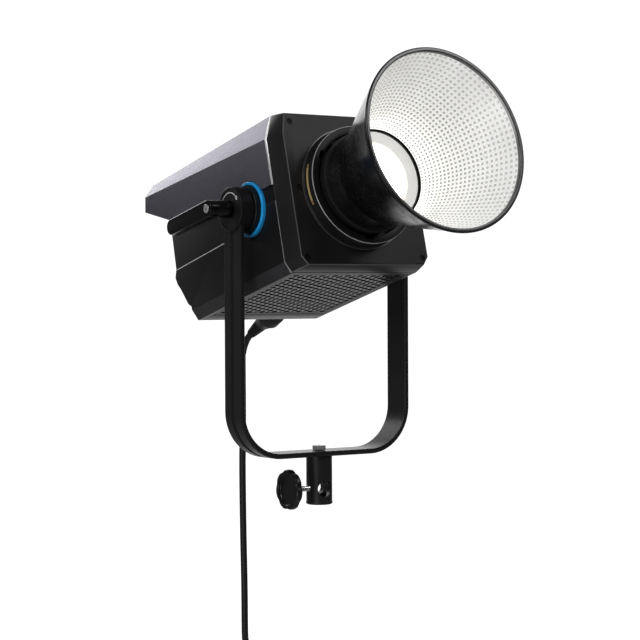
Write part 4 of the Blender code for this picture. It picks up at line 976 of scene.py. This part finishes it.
def make_clamp():
    place = at(0, 0, 17.4) @ LEFT_TURN
    lobes, inner, outer = 7, 33.6, 42.2
    rows = [(0.35, inner), (0.84, inner + 0.2), (0.93, inner + 0.9), (0.985, inner + 1.9), (1.0, inner + 3.0)]
    rows += [(1.0, outer - 2.0), (0.985, outer - 0.9), (0.95, outer - 0.25), (0.9, outer), (0.79, outer)]
    rows += [(0.765, outer - 0.4), (0.745, outer - 2.0), (0.72, outer - 2.6), (0.3, outer - 2.6)]
    angles = [2 * math.pi * step / (lobes * 20) for step in range(lobes * 20)]
    lobed = [21.6 - 1.3 * (0.5 - 0.5 * math.cos(lobes * angle)) ** 2 for angle in angles]
    plain = [20.9] * len(angles)
    rings = []
    for scale, height in rows:
        rings.append(polar_ring([radius * scale for radius in (lobed if scale > 0.8 else plain)], height))
    wheel = loft("clamp_handwheel", rings, place)
    piece(wheel, "hand_screw", "black_plastic", KNOB_BLACK, "clamp_knob", sharp=26)
    thread_start, pitch = 11.9, 1.25
    thread = [(2.4, 11.3)]
    for turn in range(int((33.2 - thread_start) / pitch)):
        height = thread_start + pitch * turn
        thread += [(2.55, height), (3.0, height + 0.5), (3.0, height + 0.7)]
    thread.append((2.5, 33.3))
    piece(turned("clamp_thread", thread, place), "hand_screw", "steel", STEEL, "clamp_screw", sharp=20)


# Controls and connectors at the back

SLOPE_TOP, SLOPE_LOW = Vector((152.0, -22.0)), Vector((139.0, -79.0))
SLOPE_MIDDLE = 38.0  # how far down the slope its sockets sit
DIALS = (("left", -56), ("right", 56))
DIAL_HEIGHT, KEY_HEIGHT = 12, -8.5
KEYS = (-24, -8, 8, 24)


def slope_place(x):
    """The frame of a piece on the sloping connector panel, its own Z out of the panel."""
    along = (SLOPE_LOW - SLOPE_TOP).normalized()
    middle = SLOPE_TOP + along * SLOPE_MIDDLE
    tilt = math.atan2(SLOPE_TOP.x - SLOPE_LOW.x, SLOPE_TOP.y - SLOPE_LOW.y)
    return HEAD @ at(x, middle.x, middle.y) @ Matrix.Rotation(-math.pi / 2 - tilt, 4, "X")


def make_rear_panel():
    wall = 2.5
    outline = [
        (REAR_PANEL, SHELL_TOP + 3), (REAR_PANEL, -19.0),
        tuple(SLOPE_TOP), tuple(SLOPE_LOW),
        (SLOPE_LOW.x - wall, SLOPE_LOW.y), (SLOPE_TOP.x - wall - 0.4, SLOPE_TOP.y + wall),
        (REAR_PANEL - wall, -16.5), (REAR_PANEL - wall, SHELL_TOP + 3),
    ]
    panel = prism("control_panel", outline, "x", -SIDE, SIDE, HEAD)
    fit = prism("fit", shell_section(SHELL_WALL + GAP, 70), "y", 100, 200, HEAD)
    combine(panel, "INTERSECT", [fit])
    cutters = [rod("dial_hole", 3.6, 150, 180, rear_place(x, DIAL_HEIGHT)) for _, x in DIALS]
    cutters += [rod("key_hole", 4.0, 150, 180, rear_place(x, KEY_HEIGHT)) for x in KEYS]
    cutters.append(block("recess", (-31, REAR_PANEL - 1.5, 1), (31, REAR_PANEL + 5, 35), HEAD))
    cutters.append(rod("inlet_hole", 11.8, -20, 20, slope_place(40)))
    cutters.append(rod("data_hole", 9.8, -20, 20, slope_place(-40)))
    cutters.append(block("rocker_hole", (-6.6, -9.6, -15), (6.6, 9.6, 15), slope_place(0)))
    cut(panel, *cutters)
    piece(soften(panel, 0.35), "head", "black_plastic", SHELL_BLACK, "rear_panel", sharp=24)
    glass = block("display", (-30.7, REAR_PANEL - 1.2, 1.3), (30.7, REAR_PANEL - 0.1, 34.7), HEAD)
    piece(soften(glass, 0.4, 3), "head", "display_black", WINDOW, "display_window")
    marks = []
    low, high = (12.6, -0.25, REAR_PANEL - 0.1), (14.4, 0.25, REAR_PANEL + 0.08)
    for _, x in DIALS:
        for tick in range(11):
            turn = Matrix.Rotation(math.radians(-240 + 30 * tick), 4, "Z")
            marks.append(block("tick", low, high, rear_place(x, DIAL_HEIGHT) @ turn))
    piece(merge("dial_scales", marks), "head", "black_plastic", MARK)
    make_louvre()
    make_dials_and_keys()
    make_sockets()


def make_louvre():
    """Overlapping slats under the hood's overhang, where the warm air leaves."""
    slats = []
    for number in range(7):
        low = SHELL_TOP + 3.6 + 6.5 * number
        half = 79.0 - max(0.0, low - 68.0) * 0.75
        outline = [(164.0, low), (165.0, low), (158.0, low + 7.5), (157.0, low + 7.5)]
        slats.append(prism("slat", outline, "x", -half, half, HEAD))
    piece(merge("rear_louvre", slats), "head", "black_plastic", SHELL_BLACK)


def make_dials_and_keys():
    low, flutes = REAR_PANEL + GAP, 40
    rows = (0.93, 0, 0), (0.96, 1.2, 0.5), (0.98, 10.4, 0.5), (0.95, 11.6, 0.3), (0.9, 12, 0)
    angles = [2 * math.pi * step / (flutes * 4) for step in range(flutes * 4)]
    for name, x in DIALS:
        place = rear_place(x, DIAL_HEIGHT)
        rings = []
        for scale, height, depth in rows:
            radii = [11.0 * scale - depth * (0.5 - 0.5 * math.cos(flutes * angle)) for angle in angles]
            rings.append(polar_ring(radii, low + height))
        cap = loft(f"{name}_knob", rings, place)
        join(cap, rod("stem", 3.0, 160, low + 2, place))
        cut(cap, block("line", (4.0, -0.4, low + 11.5), (9.4, 0.4, low + 14), place))
        piece(cap, f"{name}_control", "black_plastic", MOULDED, f"{name}_dial", sharp=30)
    profile = [(0, 160.5), (3.6, 160.5), (3.6, 167.3), *arc((2.9, 167.5), 0.7, 0, 80, 4)]
    profile += [(1.6, 167.9), (0, 167.8)]
    for number, x in enumerate(KEYS, 1):
        cap = turned(f"key_cap_{number}", profile, rear_place(x, KEY_HEIGHT))
        piece(cap, f"key_{number}", "rubber", RUBBER, f"button_{number}")


def make_sockets():
    inlet, data, rocker = slope_place(40), slope_place(-40), slope_place(0)
    shell = [(11.2, -18.0), (11.2, GAP), (15.2, GAP), (15.5, 0.7), (15.5, 1.9), (15.1, 2.3)]
    shell += [(9.0, 2.3), (9.0, -14.0)]
    body = turned("inlet_housing", shell, inlet)
    piece(soften(body, 0.2, 1), "head", "black_plastic", MOULDED, "inlet_socket")
    shell = [(0, -14), (9.2, -14.0), (9.2, GAP), (12.5, GAP), (12.5, 1.7), (12.2, 2.0)]
    shell += [(7.0, 2.0), (7.0, -9.0), (0, -9)]
    piece(turned("data_housing", shell, data), "head", "steel", STEEL, "data_socket")
    cutters = []
    for number in range(5):
        angle = math.radians(30 + 60 * number)
        spot = at(3.8 * math.cos(angle), 3.8 * math.sin(angle), 0)
        cutters.append(rod("hole", 0.8, -8, 0, data @ spot, 16))
    core = cut(rod("data_core", 6.2, -9.2, -4.0, data), *cutters)
    piece(core, "head", "steel", MOULDED)
    outline = [(-8.0, -2.6), (8.0, -2.6), (8.4, 1.2), *arc((0, 12.6), 10.4, 275, 265, 4), (-8.4, 4.4)]
    cap = soften(prism("rocker_cap", outline, "x", -6.0, 6.0, rocker), 0.5, 2)
    piece(cap, "rocker", "black_plastic", GLOSS, "power_rocker")
    housing = block("rocker_housing", (-8.0, -11.0, -13.0), (8.0, 11.0, -2.8), rocker)
    cut(housing, block("inside", (-6.6, -9.6, -11.5), (6.6, 9.6, 0), rocker))
    piece(housing, "head", "black_plastic", MOULDED)
    make_connector(inlet)


def make_connector(inlet):
    """The locking mains connector: a ribbed sleeve, a collar and a tapered, ringed strain relief."""
    profile = [(0, -10.0), (8.4, -10.0), (8.6, -9.6), (8.6, 2.6), (12.9, 2.6), (13.5, 3.2)]
    for rib in range(8):
        height = 5.0 + rib * 3.0
        profile += [(13.5, height), (12.7, height + 0.6), (12.7, height + 1.4), (13.5, height + 2.0)]
    profile += [(13.5, 30.0), (14.2, 31.0), (14.5, 31.8), (14.5, 45.4), (14.0, 46.4)]
    profile += [(11.5, 52.0), (8.4, 61.0)]
    for ring in range(7):
        height = 62.0 + ring * 3.5
        radius = 8.2 - ring * 0.38
        profile += [(radius, height), (radius - 0.9, height + 0.6)]
        profile += [(radius - 1.0, height + 1.5), (radius - 0.2, height + 2.1)]
    profile += [(5.4, 87.6), (5.0, 88.0), (0, 88.0)]
    piece(turned("cord_plug", profile, inlet), "head", "gloss_black", MOULDED, "cord_connector", sharp=30)


# The coil's tie and the mains plug


def make_tie_and_plug():
    x, y, z = COIL_CENTRE
    along = math.radians(TIE_ANGLE)
    place = at(x + COIL_MEAN_RADIUS * math.cos(along), y, z + COIL_MEAN_RADIUS * math.sin(along))
    place = place @ Matrix.Rotation(-along, 4, "Y")
    half = [(19.7, -4.7), (20.0, -5.0), (20.9, -5.0), (21.2, -4.7)]
    profile = half + [(radius, -height) for radius, height in reversed(half)]
    piece(turned("hook_tie", profile, place, ring=True), "yoke", "black_plastic", MOULDED, "cord_tie")
    place = at(x + PLUG_SIDE, y - BUNDLE_HALF - GAP - 8.0, z - 30.0)
    outline = arc((-9.5, 0), 8.0, 90, 270, 20) + arc((9.5, 0), 8.0, -90, 90, 20)
    plug = soften(prism("plug_body", outline, "z", -32.0, 0, place), 1.4, 3)
    relief = [(7.0, -1.0)]
    for ring in range(5):
        height, radius = 0.6 + 3.6 * ring, 7.0 - 0.4 * ring
        relief += [(radius, height), (radius, height + 1.6)]
        relief += [(radius - 0.9, height + 2.2), (radius - 0.9, height + 2.9)]
    relief.append((5.0, 20.0))
    join(plug, turned("relief", relief, place))
    piece(plug, "yoke", "rubber", MOULDED, "mains_plug", sharp=30)
    pin = [(0, -51.0), (1.2, -51.0), (2.0, -50.4), (2.4, -49.4), (2.4, -31.0)]
    pins = [turned("pin", pin, place @ at(side * 9.5, 0, 0), 32) for side in (-1, 1)]
    piece(merge("plug_pins", pins), "yoke", "brass", BRASS)


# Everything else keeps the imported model's shape


def repaint():
    paints = {
        ALUMINIUM: ("dome_holder", "cold_plate", "fin_stack"),
        COPPER: ("heat_pipe_1", "heat_pipe_2", "heat_pipe_3"),
        BOARD: ("power_supply", "driver_board", "control_board"),
        PHOSPHOR: ("led_board",),
        MOULDED: ("fan_frame_front", "fan_rotor_front", "fan_frame_rear", "fan_rotor_rear"),
        STEEL: ("left_tilt_stud", "right_tilt_stud", "lever_core", "lever_spring", "detent_pin",
                "detent_spring"),
        FIBRE: ("left_friction_disc", "right_friction_disc"),
        BRASS: ("clamp_pad",),
    }
    for material, names in paints.items():
        for name in names:
            for slot in bpy.data.objects[name].material_slots:
                slot.material = material


make_reflector()
make_optics()
make_bezel()
make_lower_shell()
make_grille()
make_cover()
for hub_side, hub_name in ((-1, "left"), (1, "right")):
    make_hub(hub_side, hub_name)
make_turn_mark()
make_lever()
make_yoke()
make_receiver()
make_clamp()
make_rear_panel()
make_tie_and_plug()
make_cord()
repaint()


# Camera, light and surroundings


FOCAL_LENGTH, SENSOR_WIDTH = 107.35, 36.0  # millimetres
CAMERA_PLACE = (-1.1366, -1.6982, 0.2285)  # metres
CAMERA_TURNS = ((-33.84, "Z"), (89.12, "X"), (-0.26, "Z"))  # degrees
LIGHTS = {  # place and target in metres, size in metres, power in watts
    "back_strip": ((-0.32, 2.1, 1.15), (0, 0.1, 0.4), (1.5, 0.5), 8.5),
    "left_softbox": ((-1.9, -1.2, 2.0), (0, 0, 0.3), (0.9, 0.9), 26),
    "right_softbox": ((1.5, -1.8, 1.9), (0, -0.1, 0.4), (0.9, 0.7), 11),
    "low_fill": ((-1.9, -0.9, -0.35), (0, 0, 0.3), (1.0, 0.8), 8),
}
# The studio's soft glow: its direction, the cosine where it starts, its least and greatest strength
GLOWS = (((0.55, 0.83, 0.08), 0.72, 0.1, 1.6), ((0, 0, -1), 0.1, 0.0, 0.25))
WHITE_BACKDROP = 1.1
FLOOR_HEIGHT, FLOOR_HALF = -1250, 9000


def make_camera():
    camera = add_object("camera", bpy.data.cameras.new("camera"))
    camera.data.lens = FOCAL_LENGTH
    camera.data.sensor_width = SENSOR_WIDTH
    camera.data.clip_end = 50.0
    turn = Matrix.Identity(4)
    for degrees, axis in CAMERA_TURNS:
        turn = turn @ Matrix.Rotation(math.radians(degrees), 4, axis)
    camera.matrix_world = Matrix.Translation(CAMERA_PLACE) @ turn
    bpy.context.scene.camera = camera


def area_light(name, place, target, size, power):
    data = bpy.data.lights.new(name, "AREA")
    data.shape = "RECTANGLE"
    data.size, data.size_y = size
    data.energy = power
    light = add_object(name, data)
    aim = (Vector(target) - Vector(place)).to_track_quat("-Z", "Y")
    light.matrix_world = Matrix.Translation(place) @ aim.to_matrix().to_4x4()
    light.visible_camera = False


def make_floor():
    low, high = -FLOOR_HALF, FLOOR_HALF
    corners = [(low, low, 0), (high, low, 0), (high, high, 0), (low, high, 0)]
    floor = new_object("floor", corners, [[0, 1, 2, 3]], at(0, 0, FLOOR_HEIGHT))
    material, tree, shader = shader_of("pale_floor", (0.9, 0.9, 0.9), 0.8)
    fill(tree, shader, {"Emission Color": (1, 1, 1, 1), "Emission Strength": 1.0})
    floor.data.materials.append(material)
    floor.visible_diffuse = False
    floor.visible_glossy = False


def make_studio():
    """A white backdrop for the camera, and a soft glow from two directions for the surfaces."""
    world = bpy.data.worlds.new("studio")
    world.use_nodes = True
    tree = world.node_tree
    place = add_node(tree, "TexCoord", {}).outputs["Generated"]
    strengths = {}
    for number, (direction, start, low, high) in enumerate(GLOWS):
        along = vector_maths(tree, "DOT_PRODUCT", place, Vector(direction).normalized())["Value"]
        strengths[number] = spread(tree, along, low, high, start, 1.0)
    strength = add_node(tree, "Math", strengths, operation="ADD").outputs["Value"]
    soft = tree.nodes["Background"]
    fill(tree, soft, {"Color": (1, 1, 1.01, 1), "Strength": strength})
    white = add_node(tree, "Background", {"Color": (1, 1, 1, 1), "Strength": WHITE_BACKDROP})
    seen = add_node(tree, "LightPath", {}).outputs["Is Camera Ray"]
    shaders = {"Fac": seen, 1: soft.outputs["Background"], 2: white.outputs["Background"]}
    both = add_node(tree, "MixShader", shaders)
    tree.links.new(both.outputs["Shader"], tree.nodes["World Output"].inputs["Surface"])
    bpy.context.scene.world = world
    bpy.context.scene.view_settings.view_transform = "Standard"


make_camera()
make_floor()
make_studio()
for light_name, light_facts in LIGHTS.items():
    area_light(light_name, *light_facts)
